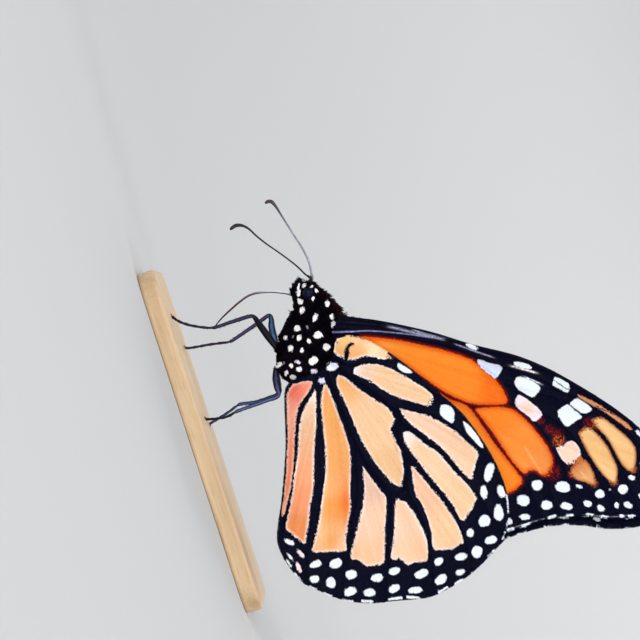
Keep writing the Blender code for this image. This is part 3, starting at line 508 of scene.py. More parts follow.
def near_box(points, low, high, margin=1.0):
    """Which of the points, by number, lie in a box made larger by a margin."""
    return np.flatnonzero(np.all((points > low - margin) & (points < high + margin), axis=1))


def fore_level(x, z):
    """Sideways distance of a forewing's middle surface from the body's middle plane."""
    reach = np.hypot(x - FORE_ROOT[0], z - FORE_ROOT[1])
    height, width = SHOULDER
    return FORE_LEVEL + SPLAY * reach + height * np.exp(-((reach / width) ** 2))


def hind_level(x, z):
    """The same for a hindwing, which lies outside the forewing and round the abdomen."""
    height, width = BELLY
    apart = segment_distance(np.stack((x, z), axis=1), *np.array(ABDOMEN_AXIS))[0]
    return fore_level(x, z) + WING_STEP + height * np.exp(-((apart / width) ** 2))


# ---------------------------------------------------------------- meshes

def add_data(mesh, **data):
    """Gives a mesh's points numbers, or colours in linear light."""
    for key, values in data.items():
        values = np.asarray(values, np.float32)
        if values.ndim == 1:
            mesh.attributes.new(key, "FLOAT", "POINT").data.foreach_set("value", values)
        else:
            full = np.ones((len(values), 4), np.float32)
            full[:, :3] = values
            mesh.attributes.new(key, "FLOAT_COLOR", "POINT").data.foreach_set("color", full.ravel())


def read(items, key, kind=float):
    """What a mesh holds for each of its vertices or faces, as rows of three numbers."""
    values = np.empty(len(items) * 3, kind)
    items.foreach_get(key, values)
    return values.reshape(-1, 3)


def mesh_piece(name, points, corners, look, smooth=True, bake=None, **data):
    """A piece from arrays: points of the elevation, its faces' corners, bake places, point data."""
    mesh = bpy.data.meshes.new(name)
    count, sides = corners.shape
    mesh.vertices.add(len(points))
    mesh.vertices.foreach_set("co", placed(points).astype(np.float32).ravel())
    mesh.loops.add(corners.size)
    mesh.loops.foreach_set("vertex_index", np.asarray(corners, np.int32).ravel())
    mesh.polygons.add(count)
    mesh.polygons.foreach_set("loop_start", np.arange(0, corners.size, sides, dtype=np.int32))
    mesh.update(calc_edges=True)
    mesh.polygons.foreach_set("use_smooth", np.full(count, smooth))
    add_data(mesh, **data)
    if bake is not None:
        layer = mesh.uv_layers.new(name="OFBake")
        layer.data.foreach_set("uv", np.asarray(bake, np.float32).ravel())
    mesh.materials.append(look)
    piece = bpy.data.objects.new(name, mesh)
    bpy.context.scene.collection.objects.link(piece)
    return piece


def belongs(piece, slot, *nodes):
    """Rides a piece on the still model's one body, in place of the nodes named; slot is not used."""
    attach(piece, "root")
    if nodes:
        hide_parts(*nodes)


def joined(shapes):
    """One array of points and one of corners for several shapes."""
    points, corners, offset = [], [], 0
    for shape_points, shape_corners in shapes:
        points.append(shape_points)
        corners.append(shape_corners + offset)
        offset += len(shape_points)
    return np.concatenate(points), np.concatenate(corners)


def vane(root, shoulder, half, rise):
    """Outline of a flat scale: places along and across it, and the share of its lift at each."""
    return ((0.0, -root, 0.0), (0.0, root, 0.0), (shoulder, half, rise), (1.0, 0.0, 1.0),
            (shoulder, -half, rise))


SCALE = vane(0.26, 0.66, 0.50, 0.55)
FRINGE_SCALE = vane(0.30, 0.82, 0.50, 0.70)
TUFT = vane(0.42, 0.55, 0.46, 0.40)


def vanes(roots, heading, outward, length, width, lift, roll, outline, bake_places):
    """Flat scales as fans of triangles, all of one outline: points, corners and bake places.

    heading runs from root to tip and outward away from the surface; lift raises the tip and
    roll one side. A scale's patch of the bake map lies at its root's place there.
    """
    across = unit(np.cross(outward, heading))
    rows, patches = [], []
    for run, side, rise in outline:
        rows.append(roots + heading * (run * length)[:, None] + across * (side * width)[:, None]
                    + outward * (rise * lift + side * roll * width)[:, None])
        patches.append(bake_places + np.multiply((side, run - 0.5), BAKE_PATCH))
    fan = np.array([(0, step + 1, step) for step in range(1, len(outline) - 1)])
    corners = (np.arange(len(roots))[:, None, None] * len(outline) + fan).reshape(-1, 3)
    points = np.stack(rows, axis=1).reshape(-1, 3)
    return points, corners, np.stack(patches, axis=1).reshape(-1, 2)[corners]


def for_points(outline, **data):
    """Data of scales of one outline, repeated for their points."""
    return {key: np.repeat(values, len(outline), axis=0) for key, values in data.items()}


def varied(colours, chance, spread, low, high):
    """Colours made a little brighter or darker by chance, each by a factor from low to high."""
    return colours * np.clip(1 + chance.normal(0, spread, len(colours)), low, high)[:, None]


# ---------------------------------------------------------------- materials

def node(tree, kind, inputs=(), **settings):
    """A shader node with its settings; an input is a number, a colour or another node's output."""
    made = tree.nodes.new(kind)
    for key, value in settings.items():
        setattr(made, key, value)
    for key, value in inputs:
        if isinstance(value, bpy.types.NodeSocket):
            tree.links.new(value, made.inputs[key])
        else:
            made.inputs[key].default_value = value
    return made


def new_look(name, **fixed):
    """A material whose shader has the values given, with _ for the spaces of their names."""
    look = bpy.data.materials.new(name)
    look.use_nodes = True
    tree = look.node_tree
    shader = tree.nodes["Principled BSDF"]
    for key, value in fixed.items():
        shader.inputs[key.replace("_", " ")].default_value = value
    return look, tree, shader, node(tree, "ShaderNodeTexCoord").outputs["Object"]


def noise(tree, place, scale, detail=3.0, roughness=0.6):
    made = node(tree, "ShaderNodeTexNoise", (("Vector", place), ("Scale", scale),
                                             ("Detail", detail), ("Roughness", roughness)))
    return made.outputs["Fac"]


def cells_of(tree, place, scale):
    """Distance from the middles of small uneven cells."""
    return node(tree, "ShaderNodeTexVoronoi", (("Vector", place), ("Scale", scale))).outputs["Distance"]


def drawn_out(tree, place, along_x, across):
    """Places scaled less along x than across it, for noise that runs in lines along the body."""
    scale = (("Vector", place), ("Scale", (along_x, across, across)))
    return node(tree, "ShaderNodeMapping", scale).outputs["Vector"]


def ranged(tree, value, from_low, from_high, to_low, to_high, **settings):
    made = node(tree, "ShaderNodeMapRange", (
        ("Value", value), ("From Min", from_low), ("From Max", from_high),
        ("To Min", to_low), ("To Max", to_high)), **settings)
    return made.outputs["Result"]


def mixed(tree, factor, first, second):
    made = node(tree, "ShaderNodeMix", ((0, factor), (6, first), (7, second)), data_type="RGBA")
    return made.outputs[2]


def coloured(tree, shader, colour, shade=None):
    """Gives the shader a colour, made brighter or darker by the shade where there is one."""
    if shade is not None:
        made = node(tree, "ShaderNodeHueSaturation", (("Color", colour), ("Value", shade)))
        colour = made.outputs["Color"]
    tree.links.new(colour, shader.inputs["Base Color"])


def bumped(tree, shader, height, strength, distance):
    made = node(tree, "ShaderNodeBump", (("Height", height), ("Strength", strength),
                                         ("Distance", distance)))
    tree.links.new(made.outputs["Normal"], shader.inputs["Normal"])


def attribute(tree, name, output="Color"):
    return node(tree, "ShaderNodeAttribute", attribute_name=name).outputs[output]


def marked(tree):
    """The marks' share from 0 to 1, and the ground's colour with the marks over it."""
    mark = ranged(tree, attribute(tree, "mark", "Fac"), -0.03, 0.03, 0.0, 1.0)
    return mark, mixed(tree, mark, attribute(tree, "ground"), attribute(tree, "tone"))


def wing_look():
    """Wing scales: black or dark red ground, with pale marks where the mark value is positive."""
    look, tree, shader, place = new_look("wing_scales", Specular_IOR_Level=0.04)
    mark, colour = marked(tree)
    coloured(tree, shader, colour, ranged(tree, noise(tree, place, 2600.0, 4.0), 0.25, 0.75, 0.95, 1.03))
    gloss = ranged(tree, noise(tree, place, 5200.0), 0.3, 0.7, -0.05, 0.07)
    rough = node(tree, "ShaderNodeMath", ((0, ranged(tree, mark, 0.0, 1.0, 0.40, 0.66)), (1, gloss)),
                 operation="ADD")
    tree.links.new(rough.outputs[0], shader.inputs["Roughness"])
    bumped(tree, shader, cells_of(tree, place, 7400.0), 0.35, 0.00003)
    return look


def fur_look():
    """Hair and hair scales: soft, nearly black, with white where the mark value is positive."""
    look, tree, shader, place = new_look("body_fur", Specular_IOR_Level=0.05)
    colour = marked(tree)[1]
    coloured(tree, shader, colour, ranged(tree, noise(tree, place, 3000.0, 4.0), 0.25, 0.75, 0.9, 1.06))
    tree.links.new(ranged(tree, noise(tree, place, 6000.0), 0.3, 0.7, 0.5, 0.72),
                   shader.inputs["Roughness"])
    strands = noise(tree, drawn_out(tree, place, 2500.0, 14000.0), 1.0, 2.0)
    bumped(tree, shader, strands, 0.4, 0.00004)
    return look


def eye_look():
    """A dark blue-black compound eye with a painted blue-violet sheen in faint paler flecks."""
    look, tree, shader, place = new_look("eye_lens", Roughness=0.34, Specular_IOR_Level=0.10,
                                         Coat_Weight=0.03, Coat_Roughness=0.15)
    sheen_flecks = ranged(tree, noise(tree, place, 3200.0, 2.0), 0.50, 0.74, 0.0, 0.5)
    coloured(tree, shader, mixed(tree, sheen_flecks, (0.0016, 0.0018, 0.018, 1.0), (0.020, 0.020, 0.105, 1.0)))
    bumped(tree, shader, cells_of(tree, place, 26000.0), 0.15, 0.000008)
    return look


def shell_look(name, share, roughness, gloss, sheen):
    """Chitin: its own colours with paler clouds on a share of it, finely pitted."""
    look, tree, shader, place = new_look(name, Specular_IOR_Level=gloss, Specular_Tint=sheen)
    clouds = ranged(tree, noise(tree, place, 1500.0, 4.0), 0.62 - share, 0.78 - share, 0.0, 1.0)
    coloured(tree, shader, attribute(tree, "tone"), ranged(tree, clouds, 0.0, 1.0, 0.85, 1.35))
    tree.links.new(ranged(tree, noise(tree, place, 5000.0), 0.3, 0.7, roughness - 0.1, roughness + 0.12),
                   shader.inputs["Roughness"])
    bumped(tree, shader, cells_of(tree, place, 9000.0), 0.35, 0.00003)
    return look


def base_look():
    """Pale maple, with fine grain along the plate, under a thin satin varnish."""
    look, tree, shader, place = new_look("maple", Specular_IOR_Level=0.3, Coat_Weight=0.06,
                                         Coat_Roughness=0.4)
    broad = noise(tree, drawn_out(tree, place, 40.0, 420.0), 1.0, 4.0, 0.55)
    pores = noise(tree, drawn_out(tree, place, 260.0, 5200.0), 1.0, 3.0, 0.6)
    wood = mixed(tree, ranged(tree, broad, 0.35, 0.68, 0.0, 1.0), (0.68, 0.50, 0.31, 1.0),
                 (0.52, 0.345, 0.19, 1.0))
    coloured(tree, shader, mixed(tree, ranged(tree, pores, 0.55, 0.72, 0.0, 0.5), wood,
                                 (0.33, 0.20, 0.10, 1.0)))
    tree.links.new(ranged(tree, pores, 0.3, 0.7, 0.46, 0.64), shader.inputs["Roughness"])
    bumped(tree, shader, pores, 0.25, 0.00004)
    return look


def stage_look():
    """Plain pale grey, a little paler up the wall."""
    look, tree, shader, place = new_look("backdrop", Roughness=0.9, Specular_IOR_Level=0.1)
    height = node(tree, "ShaderNodeSeparateXYZ", (("Vector", place),)).outputs["Z"]
    rise = ranged(tree, height, 0.0, 0.22, 0.0, 1.0, interpolation_type="SMOOTHSTEP")
    coloured(tree, shader, mixed(tree, rise, (0.57, 0.575, 0.58, 1.0), (0.71, 0.715, 0.72, 1.0)))
    return look


# ---------------------------------------------------------------- markings of the wings

def spot_at(points, x, z, width, height, lean=0, colour=None):
    """A rounded, slightly uneven spot: the points near it, how deep they lie in it, its colour."""
    half = max(width, height) / 2
    near = near_box(points, np.array((x, z)) - half, np.array((x, z)) + half, 0.5)
    turn = math.radians(lean)
    offset = points[near] - (x, z)
    u = (offset[:, 0] * math.cos(turn) + offset[:, 1] * math.sin(turn)) / (width / 2)
    v = (offset[:, 1] * math.cos(turn) - offset[:, 0] * math.sin(turn)) / (height / 2)
    angle = np.arctan2(v, u)
    uneven = 1 + 0.05 * np.sin(2 * angle + 7 * x) + 0.03 * np.sin(3 * angle + 5 * z)
    reach = (np.abs(u) ** SQUARENESS + np.abs(v) ** SQUARENESS) ** (1 / SQUARENESS)
    return near, (1 - reach / uneven) * min(width, height) / 2, colour


def laid(mark, tone, near, depth, colour):
    """Lays a mark over the others at those of the points near it where it is the deepest."""
    deepest = depth > mark[near]
    mark[near[deepest]] = depth[deepest]
    tone[near[deepest]] = linear(colour)


def streaks(points, root):
    """Faint lighter and darker streaks from the hinge: painted light and shade of the wing's folds."""
    arm = points - root
    angle = np.arctan2(arm[:, 1], arm[:, 0])
    reach = np.hypot(arm[:, 0], arm[:, 1])
    chance = np.random.default_rng(5)
    total = np.zeros(len(points))
    for steps, share in ((70, 0.5), (180, 0.5), (420, 0.35)):
        knots = chance.normal(0, 1, (3, steps))
        grid = np.linspace(-1.3, 1.9, steps)
        bands = np.stack([np.interp(angle, grid, row) for row in knots])
        along_band = np.clip(reach / STREAK_REACH * 2, 0, 1.999)
        low = along_band.astype(int)
        part = along_band - low
        pick = np.arange(len(points))
        total += share * (bands[low, pick] * (1 - part) + bands[low + 1, pick] * part)
    return total


def near_course(points, course):
    """A smooth course through places, the points near it and their distances from it."""
    course = along(course, np.linspace(0, 1, 4 * len(course)))
    near = near_box(points, course.min(0), course.max(0), 0.6)
    return near, course, course_distance(points[near], course)


def painted(points, cells, spots, strokes=(), upper=False, trim=0.065, white=WHITE):
    """The marks at points of a wing: depth in the nearest mark, its colour, the orange cells' depth.

    Trim is how much of a spot's edge is black all the same. White is the colour of the spots that
    have none of their own."""
    mark = np.full(len(points), -1.0)
    fiery = mark.copy()
    tone = np.tile(linear(white), (len(points), 1))
    for outline, tints, rim in cells:
        outline = rounded(outline)
        near = near_box(points, outline.min(0), outline.max(0))
        depth = inside_depth(points[near], outline)
        strength, reach = 0.85, 0.24
        if rim == EMBER:
            strength, reach = 0.95, 0.42
            depth += EMBER_GROWTH
            fiery[near] = np.maximum(fiery[near], depth)
        better = depth > mark[near]
        near, depth = near[better], depth[better]
        colour = linear(rim)
        if tints:
            weight = np.stack([
                1 / (((points[near] - tint[:2]) ** 2).sum(1) + 0.8) ** 1.5 for tint in tints], axis=1)
            weight /= weight.sum(1)[:, None]
            colour = weight @ np.stack([linear(tint[2]) for tint in tints])
        edge = strength * np.exp(-(np.maximum(depth, 0) / reach) ** 2)[:, None]
        mark[near] = depth
        tone[near] = colour * (1 - edge) + linear(rim) * edge
    if upper:
        tone = tone * UPPER_TINT
    for spot in spots:
        near, depth, colour = spot_at(points, *spot)
        laid(mark, tone, near, depth - trim, colour or white)
    for half, course in strokes:
        near, _, distance = near_course(points, course)
        mark[near] = np.minimum(mark[near], distance - half)
    return mark, tone, fiery


def with_soft_marks_and_highlights(points, colours, soft_marks_and_highlights):
    """Colours with soft strokes laid over them: marks of the scales, and painted highlights."""
    colours = colours.copy()
    for half, strength, colour, course in soft_marks_and_highlights:
        near, course, distance = near_course(points, course)
        ends = [np.linalg.norm(points[near] - course[end], axis=1) for end in (0, -1)]
        share = strength * np.exp(-(distance / half) ** 2) * smooth_step(np.minimum(*ends), 0.0, 1.0)
        share = (share * (0.5 + 0.85 * grain(points[near])))[:, None].clip(0, 1)
        colours[near] += share * (linear(colour) - colours[near])
    return colours


def vein_height(points, veins):
    """Height of the veins' ridges at points, and the distance to the nearest vein's middle."""
    height = np.zeros(len(points))
    nearest = np.full(len(points), 9.0)
    for start_radius, end_radius, course in veins:
        course = along(course, np.linspace(0, 1, 3 * len(course)))
        near = near_box(points, course.min(0), course.max(0))
        best = np.full(len(near), 9.0)
        radius = np.full(len(near), start_radius)
        for step, ends in enumerate(zip(course, course[1:])):
            distance, t = segment_distance(points[near], *ends)
            closer = distance < best
            best = np.where(closer, distance, best)
            share = (step + t) / (len(course) - 1)
            radius = np.where(closer, start_radius + (end_radius - start_radius) * share, radius)
        ridge = radius * np.exp(-((best / (1.15 * radius)) ** 2))
        height[near] = np.maximum(height[near], ridge)
        nearest[near] = np.minimum(nearest[near], best)
    return height, nearest


def sprinkled(points, x, z, reach, core=0.4):
    """How much points belong to a place: 1 within a share of its reach, falling to 0 at its reach."""
    return 1 - smooth_step(np.hypot(*(points - (x, z)).T), reach * core, reach)


def ground_colour(points, mark, red_places, speckles):
    """Colour between the marks: black, but dark red close beside the cells near the places given."""
    red = np.zeros(len(points))
    for place in red_places:
        red = np.maximum(red, sprinkled(points, *place, core=0.7))
    red *= np.exp(-(np.maximum(-mark, 0) / 0.27) ** 2)
    ground = linear(INK) * (1 - red[:, None]) + linear(MAROON) * red[:, None]
    for *place, colour in speckles:
        fleck = 0.85 * sprinkled(points, *place) * (grain(points) > 0.5)
        ground += fleck[:, None] * (linear(colour) - ground)
    return ground


# ---------------------------------------------------------------- shapes of the wings

def drawn_in(edges, depth, front_depth):
    """A wing's edges moved in from the outline, but moved out at the hinge, under the body's coat."""
    front, outer, back, root = edges
    loop = [*front, *outer[1:], *back[-2::-1], *root[-2:0:-1]]
    moved = {}
    for before, point, after in zip(loop[-1:] + loop[:-1], loop, loop[1:] + loop[:1]):
        run = Vector(after) - Vector(before)
        inward = Vector((run.y, -run.x)).normalized()
        reach = front_depth if point in front[:-2] else depth
        moved[point] = tuple(Vector(point) + inward * (-0.25 if point in root else reach))
    return tuple(tuple(moved[point] for point in edge) for edge in edges)


def wing_grid(edges, across_cells, down_cells):
    """Places on the surface that a wing's four edges span, from the hinge out and front to back."""
    front, outer, back, root = edges
    u = np.linspace(0, 1, across_cells + 1)
    v = np.linspace(0, 1, down_cells + 1)
    near, far = along(front, u)[:, None], along(back, u)[:, None]
    inner, rim = along(root, v)[None], along(outer, v)[None]
    u, v = u[:, None, None], v[None, :, None]
    corners = [np.array(point) for point in (front[0], front[-1], back[0], back[-1])]
    plain = ((1 - u) * (1 - v) * corners[0] + u * (1 - v) * corners[1]
             + (1 - u) * v * corners[2] + u * v * corners[3])
    return (1 - v) * near + v * far + (1 - u) * inner + u * rim - plain


def wing_outline(edges):
    """A closed outline with EDGE_STEPS places for each edge, round by the front and the outer edge."""
    front, outer, back, root = (along(edge, np.linspace(0, 1, EDGE_STEPS + 1)) for edge in edges)
    return np.concatenate((front[:-1], outer[:-1], back[:0:-1], root[:0:-1]))


class Wing:
    """One kind of wing: its place beside the body, its edges, its veins and its marks.

    A bare front edge has no fringe. Ragged is how unevenly the scales end a mark, and dash_reach is
    half the width of the dashes along the edge.
    """

    def __init__(self, kind, level, root, edges, veins, cells, spots, strokes, dashes, reds, speckles,
                 soft_marks_and_highlights=(), bare_front=False, front_depth=FRINGE, ragged=0.07, dash_reach=0.21):
        self.kind, self.level, self.root = kind, level, np.array(root)
        self.edges = drawn_in(edges, FRINGE, front_depth)
        self.veins, self.cells, self.spots, self.strokes = veins, cells, spots, strokes
        self.dashes, self.reds, self.speckles, self.soft_marks_and_highlights = dashes, reds, speckles, soft_marks_and_highlights
        self.bare_front, self.ragged, self.dash_reach = bare_front, ragged, dash_reach
        self.outline = wing_outline(self.edges)
        self.corner = self.outline.min(0) - 1.0
        self.reach = np.ptp(self.outline, axis=0).max() + 2.0

    def surface(self, points, face):
        """Sideways place of the wing's outer (face 1) or inner (face -1) surface."""
        ridge, near = vein_height(points, self.veins)
        swell = 0.11 * smooth_step(near, 0.2, 1.6)
        return self.level(*points.T) + face * (MEMBRANE + (ridge if face > 0 else 0.6 * ridge)) - swell

    def paint(self, points, face):
        """At points of a surface: depth in the nearest mark, its colour, the ground's colour."""
        mark, tone, fiery = painted(points, self.cells, self.spots, self.strokes, upper=face < 0)
        for start, end, *colour in self.dashes if face > 0 else ():
            if not colour:
                near = near_box(points, np.minimum(start, end), np.maximum(start, end))
                laid(mark, tone, near, self.dash_depth(points[near], start, end), WHITE)
        # painted light and shade of the membrane's folds, on the coloured marks
        fold_shade = 0.075 * streaks(points, self.root)[:, None] * (0.5, 1.1, 1.8)
        tone = np.clip(tone * (1 + fold_shade * (tone.min(1) < 0.75)[:, None]), 0, 1)
        ground = ground_colour(points, fiery, self.reds, self.speckles)
        # the outer face also gets the soft strokes, among them painted highlights along the front and
        # outer edges
        if face > 0:
            tone, ground = with_soft_marks_and_highlights(points, tone, self.soft_marks_and_highlights), with_soft_marks_and_highlights(points, ground, self.soft_marks_and_highlights)
        return mark, tone, ground

    def dash_depth(self, points, start, end):
        """How deep points lie in a white dash of the edge."""
        start, end = np.array(start), np.array(end)
        cut = (end - start) * min(0.30 / np.linalg.norm(end - start), 0.5)
        return self.dash_reach - segment_distance(points, start + cut, end - cut)[0]

    def bake_place(self, points):
        return (points - self.corner) / self.reach


def membrane(wing):
    """The wing's sheet, outer surface first: points, corners, bake places and point data."""
    grid = wing_grid(wing.edges, *GRID)
    flat = grid.reshape(-1, 2)
    number = np.arange(len(flat)).reshape(grid.shape[:2])
    cells = np.stack((number[:-1, :-1], number[:-1, 1:], number[1:, 1:], number[1:, :-1]), axis=-1)
    cells = cells.reshape(-1, 4)
    loop = np.concatenate((number[0, :-1], number[:-1, -1], number[-1, :0:-1], number[:0:-1, 0]))
    after = np.roll(loop, -1)
    rim = np.stack((loop, loop + len(flat), after + len(flat), after), axis=-1)
    corners = np.concatenate((cells, cells[:, ::-1] + len(flat), rim))[:, ::-1]
    points, bake, paint = [], [], []
    for face, low in ((1, 0.0), (-1, 0.51)):
        points.append(np.stack((flat[:, 0], wing.surface(flat, face), flat[:, 1]), axis=1))
        bake.append(wing.bake_place(flat) * (1.0, 0.49) + (0.0, low))
        paint.append(wing.paint(flat, face))
    data = dict(zip(("mark", "tone", "ground"), (np.concatenate(pair) for pair in zip(*paint))))
    return np.concatenate(points), corners, np.concatenate(bake)[corners], data


def scale_lattice(wing, pitch, chance):
    """Roots of a wing's scales in staggered rows, each a little off its place."""
    low, high = wing.outline.min(0), wing.outline.max(0)
    x, z = np.meshgrid(np.arange(low[0], high[0], pitch), np.arange(low[1], high[1], pitch))
    x[1::2] += pitch / 2
    roots = np.stack((x.ravel(), z.ravel()), axis=1)
    roots += chance.uniform(-0.28, 0.28, roots.shape) * pitch
    roots = roots[inside_depth(roots, wing.outline) > 0.03]
    if wing.bare_front:
        front = along(wing.edges[0], np.linspace(0, 1, 60))
        roots = roots[course_distance(roots, front) > 0.15]
    return roots


def wing_scales(wing, face, roots, chance, size=1.0):
    """Overlapping scales over a wing: points, corners, bake places and point data."""
    count = len(roots)
    middle = wing.surface(roots, face)
    slope_x, slope_z = ((wing.surface(roots + step, face) - middle) / SLOPE_STEP
                        for step in np.eye(2) * SLOPE_STEP)
    out = roots - wing.root
    angle = np.arctan2(out[:, 1], out[:, 0]) + chance.normal(0, 0.10, count)
    heading = unit(np.stack((np.cos(angle), np.cos(angle) * slope_x + np.sin(angle) * slope_z,
                             np.sin(angle)), axis=1))
    outward = unit(np.stack((-slope_x, np.ones(count), -slope_z), axis=1) * face)
    base = np.stack((roots[:, 0], middle + 0.012 * face, roots[:, 1]), axis=1)
    length = size * chance.uniform(0.20, 0.27, count)
    shape = vanes(
        base, heading, outward, length, size * chance.uniform(0.13, 0.17, count),
        size * chance.uniform(0.015, 0.055, count), chance.normal(0, 0.10, count), SCALE,
        wing.bake_place(roots))
    middles = roots + 0.5 * length[:, None] * heading[:, (0, 2)]
    mark, tone, ground = wing.paint(middles, face)
    rough = np.full(count, wing.ragged)
    for *place, _ in wing.speckles:
        rough += 0.24 * sprinkled(middles, *place)
    mark = mark + chance.normal(0, 1, count) * np.where(tone.min(1) > 0.8, 0.03, rough)
    tone = varied(tone, chance, 0.03, 0.85, 1.08)
    ground = varied(ground, chance, 0.35, 0.3, 2.2)
    return *shape, for_points(SCALE, mark=mark, tone=tone, ground=ground)


def fringe(wing, chance):
    """Two rows of long scales past the wing's edge, white along the dashes."""
    loop = np.concatenate((wing.outline, wing.outline[:1]))
    lengths = run_lengths(loop)
    begin = lengths[EDGE_STEPS] if wing.bare_front else 0.0
    count = int((lengths[-1 - EDGE_STEPS] - begin) / FRINGE_PITCH)

    def on_edge(where):
        return np.stack([np.interp(where, lengths, loop[:, axis]) for axis in (0, 1)], axis=1)

    made = []
    for row, (reach, back) in enumerate(((1.0, 0.05), (0.72, 0.16))):
        where = begin + (np.arange(count) + 0.5 * row + chance.uniform(-0.3, 0.3, count)) * FRINGE_PITCH
        roots = on_edge(where)
        run = unit(on_edge(where + 0.2) - roots)
        out = np.stack((-run[:, 1], run[:, 0]), axis=1)
        white = np.full(count, -1.0)
        tone = np.tile(linear(WHITE), (count, 1))
        for start, end, *colour in wing.dashes:
            depth = wing.dash_depth(roots + out * FRINGE, start, end)
            white = np.maximum(white, depth)
            if colour:
                tone[depth > -0.2] = linear(colour[0])
        roots = roots - out * back
        angle = chance.normal(0, 0.07, count)
        out = out * np.cos(angle)[:, None] + run * np.sin(angle)[:, None]
        heading = unit(np.stack((out[:, 0], 0.06 * chance.normal(0, 1, count), out[:, 1]), axis=1))
        base = np.stack((roots[:, 0], wing.level(*roots.T) - 0.04 - 0.10 * row, roots[:, 1]), axis=1)
        *shape, bake = vanes(
            base, heading, np.tile((0.0, 1.0, 0.0), (count, 1)),
            (FRINGE + 0.10) * reach * chance.uniform(0.8, 1.1, count),
            chance.uniform(0.08, 0.11, count), chance.normal(0, 0.02, count),
            chance.normal(0, 0.2, count), FRINGE_SCALE, wing.bake_place(roots))
        made.append((shape, bake, white + chance.normal(0, 0.05, count), tone))
    shapes, *others = zip(*made)
    bake, mark, tone = (np.concatenate(pair) for pair in others)
    ground = np.tile(linear(INK) * 1.6, (len(mark), 1))
    return *joined(shapes), bake, for_points(FRINGE_SCALE, mark=mark, tone=tone, ground=ground)


def wing_piece(name, made, side, askew, wing, look, smooth, *nodes):
    """A part of a wing beside the body, askew by an angle in degrees and a slide in x and z."""
    points, corners, bake, data = made
    turn = math.radians(askew[0])
    arm = points[:, (0, 2)] - wing.root
    points = points * (1, side, 1)
    points[:, 0] = wing.root[0] + arm[:, 0] * math.cos(turn) - arm[:, 1] * math.sin(turn) + askew[1]
    points[:, 2] = wing.root[1] + arm[:, 0] * math.sin(turn) + arm[:, 1] * math.cos(turn) + askew[2]
    if side < 0:
        corners, bake = corners[:, ::-1], bake[:, ::-1]
    piece = mesh_piece(name, points, corners, look, smooth, bake, **data)
    belongs(piece, f"{wing.kind}_wing", *nodes)


def build_wings():
    look = wing_look()
    hind = Wing("hind", hind_level, HIND_ROOT, HIND_EDGES, HIND_VEINS, HIND_CELLS, HIND_SPOTS,
                HIND_STROKES, HIND_DASHES, HIND_REDS, HIND_SPECKLES)
    fore = Wing("fore", fore_level, FORE_ROOT, FORE_EDGES, FORE_VEINS, FORE_CELLS, FORE_SPOTS,
                FORE_STROKES, FORE_DASHES, FORE_REDS, FORE_SPECKLES, FORE_SOFT_MARKS_AND_HIGHLIGHTS,
                bare_front=True, front_depth=0.05, ragged=0.045, dash_reach=0.23)
    chance = np.random.default_rng(11)
    for wing, askew in ((hind, RIGHT_HIND), (fore, RIGHT_FORE)):
        roots = scale_lattice(wing, 0.125, chance)
        if wing is fore:
            roots = roots[inside_depth(roots, hind.outline) < HIDDEN_DEPTH]
        sheet = membrane(wing)
        outer = wing_scales(wing, 1, roots, chance)
        rim = fringe(wing, chance)
        inner = wing_scales(wing, -1, scale_lattice(wing, 0.20, chance), chance, size=1.5)
        for side, hand in ((-1, "left"), (1, "right")):
            lie = askew if side > 0 else (0.0, 0.0, 0.0)
            name = f"{wing.kind}wing_{hand}"
            wing_piece(f"{name}_skin", sheet, side, lie, wing, look, True, name)
            for part, made in (("scales", outer), ("upper_scales", inner), ("fringe", rim)):
                wing_piece(f"{name}_{part}", made, side, lie, wing, look, False)


build_wings()


# ---------------------------------------------------------------- body

# The body in side view, as in the model: x, top, bottom and half width, out to the hair tips.
BODY_STATIONS = (
    (0.95, 20.05, 19.55, 0.30), (1.25, 20.70, 19.10, 0.90), (1.80, 21.20, 18.75, 1.30),
    (2.50, 21.60, 18.35, 1.62), (3.20, 22.05, 17.55, 1.80), (3.90, 22.55, 16.95, 1.95),
    (4.70, 23.00, 17.45, 2.15), (5.60, 23.30, 16.75, 2.45), (6.60, 23.50, 15.60, 2.70),
    (7.80, 23.60, 14.15, 2.85), (9.20, 23.40, 12.75, 2.90), (10.60, 22.85, 12.10, 2.85),
    (11.90, 21.90, 11.95, 2.65), (13.00, 20.60, 12.20, 2.35), (13.90, 19.20, 12.75, 2.05),
    (14.80, 17.90, 13.10, 1.85), (16.40, 16.95, 12.65, 1.95), (18.80, 16.00, 11.75, 2.00),
    (21.40, 14.95, 10.70, 2.00), (24.00, 13.80, 9.75, 1.92), (26.40, 12.60, 9.05, 1.70),
    (28.60, 11.30, 8.55, 1.30), (30.20, 10.10, 8.40, 0.82), (31.20, 9.25, 8.55, 0.32),
)
NECK_X = 4.35
WAIST_X = 14.5
SEGMENTS = (15.2, 17.2, 19.3, 21.5, 23.7, 25.8, 27.7, 29.3)   # where the abdomen's rings meet
EYE_PLACE = (2.66, 1.30, 19.72)
EYE_RADII = (0.80, 0.74, 0.80)
PALP = (
    (3.2, 0.62, 17.95, 0.50), (2.1, 0.62, 18.0, 0.62), (1.3, 0.60, 18.5, 0.60),
    (0.75, 0.54, 19.05, 0.52), (0.36, 0.47, 19.42, 0.42),
)
HAIR_X = (0.5, 3.0, 5.0, 9.0, 13.5, 15.0, 30.0)   # where the hairs' lengths are given
SKIN_VOXEL = 0.115       # size of the skin's facets

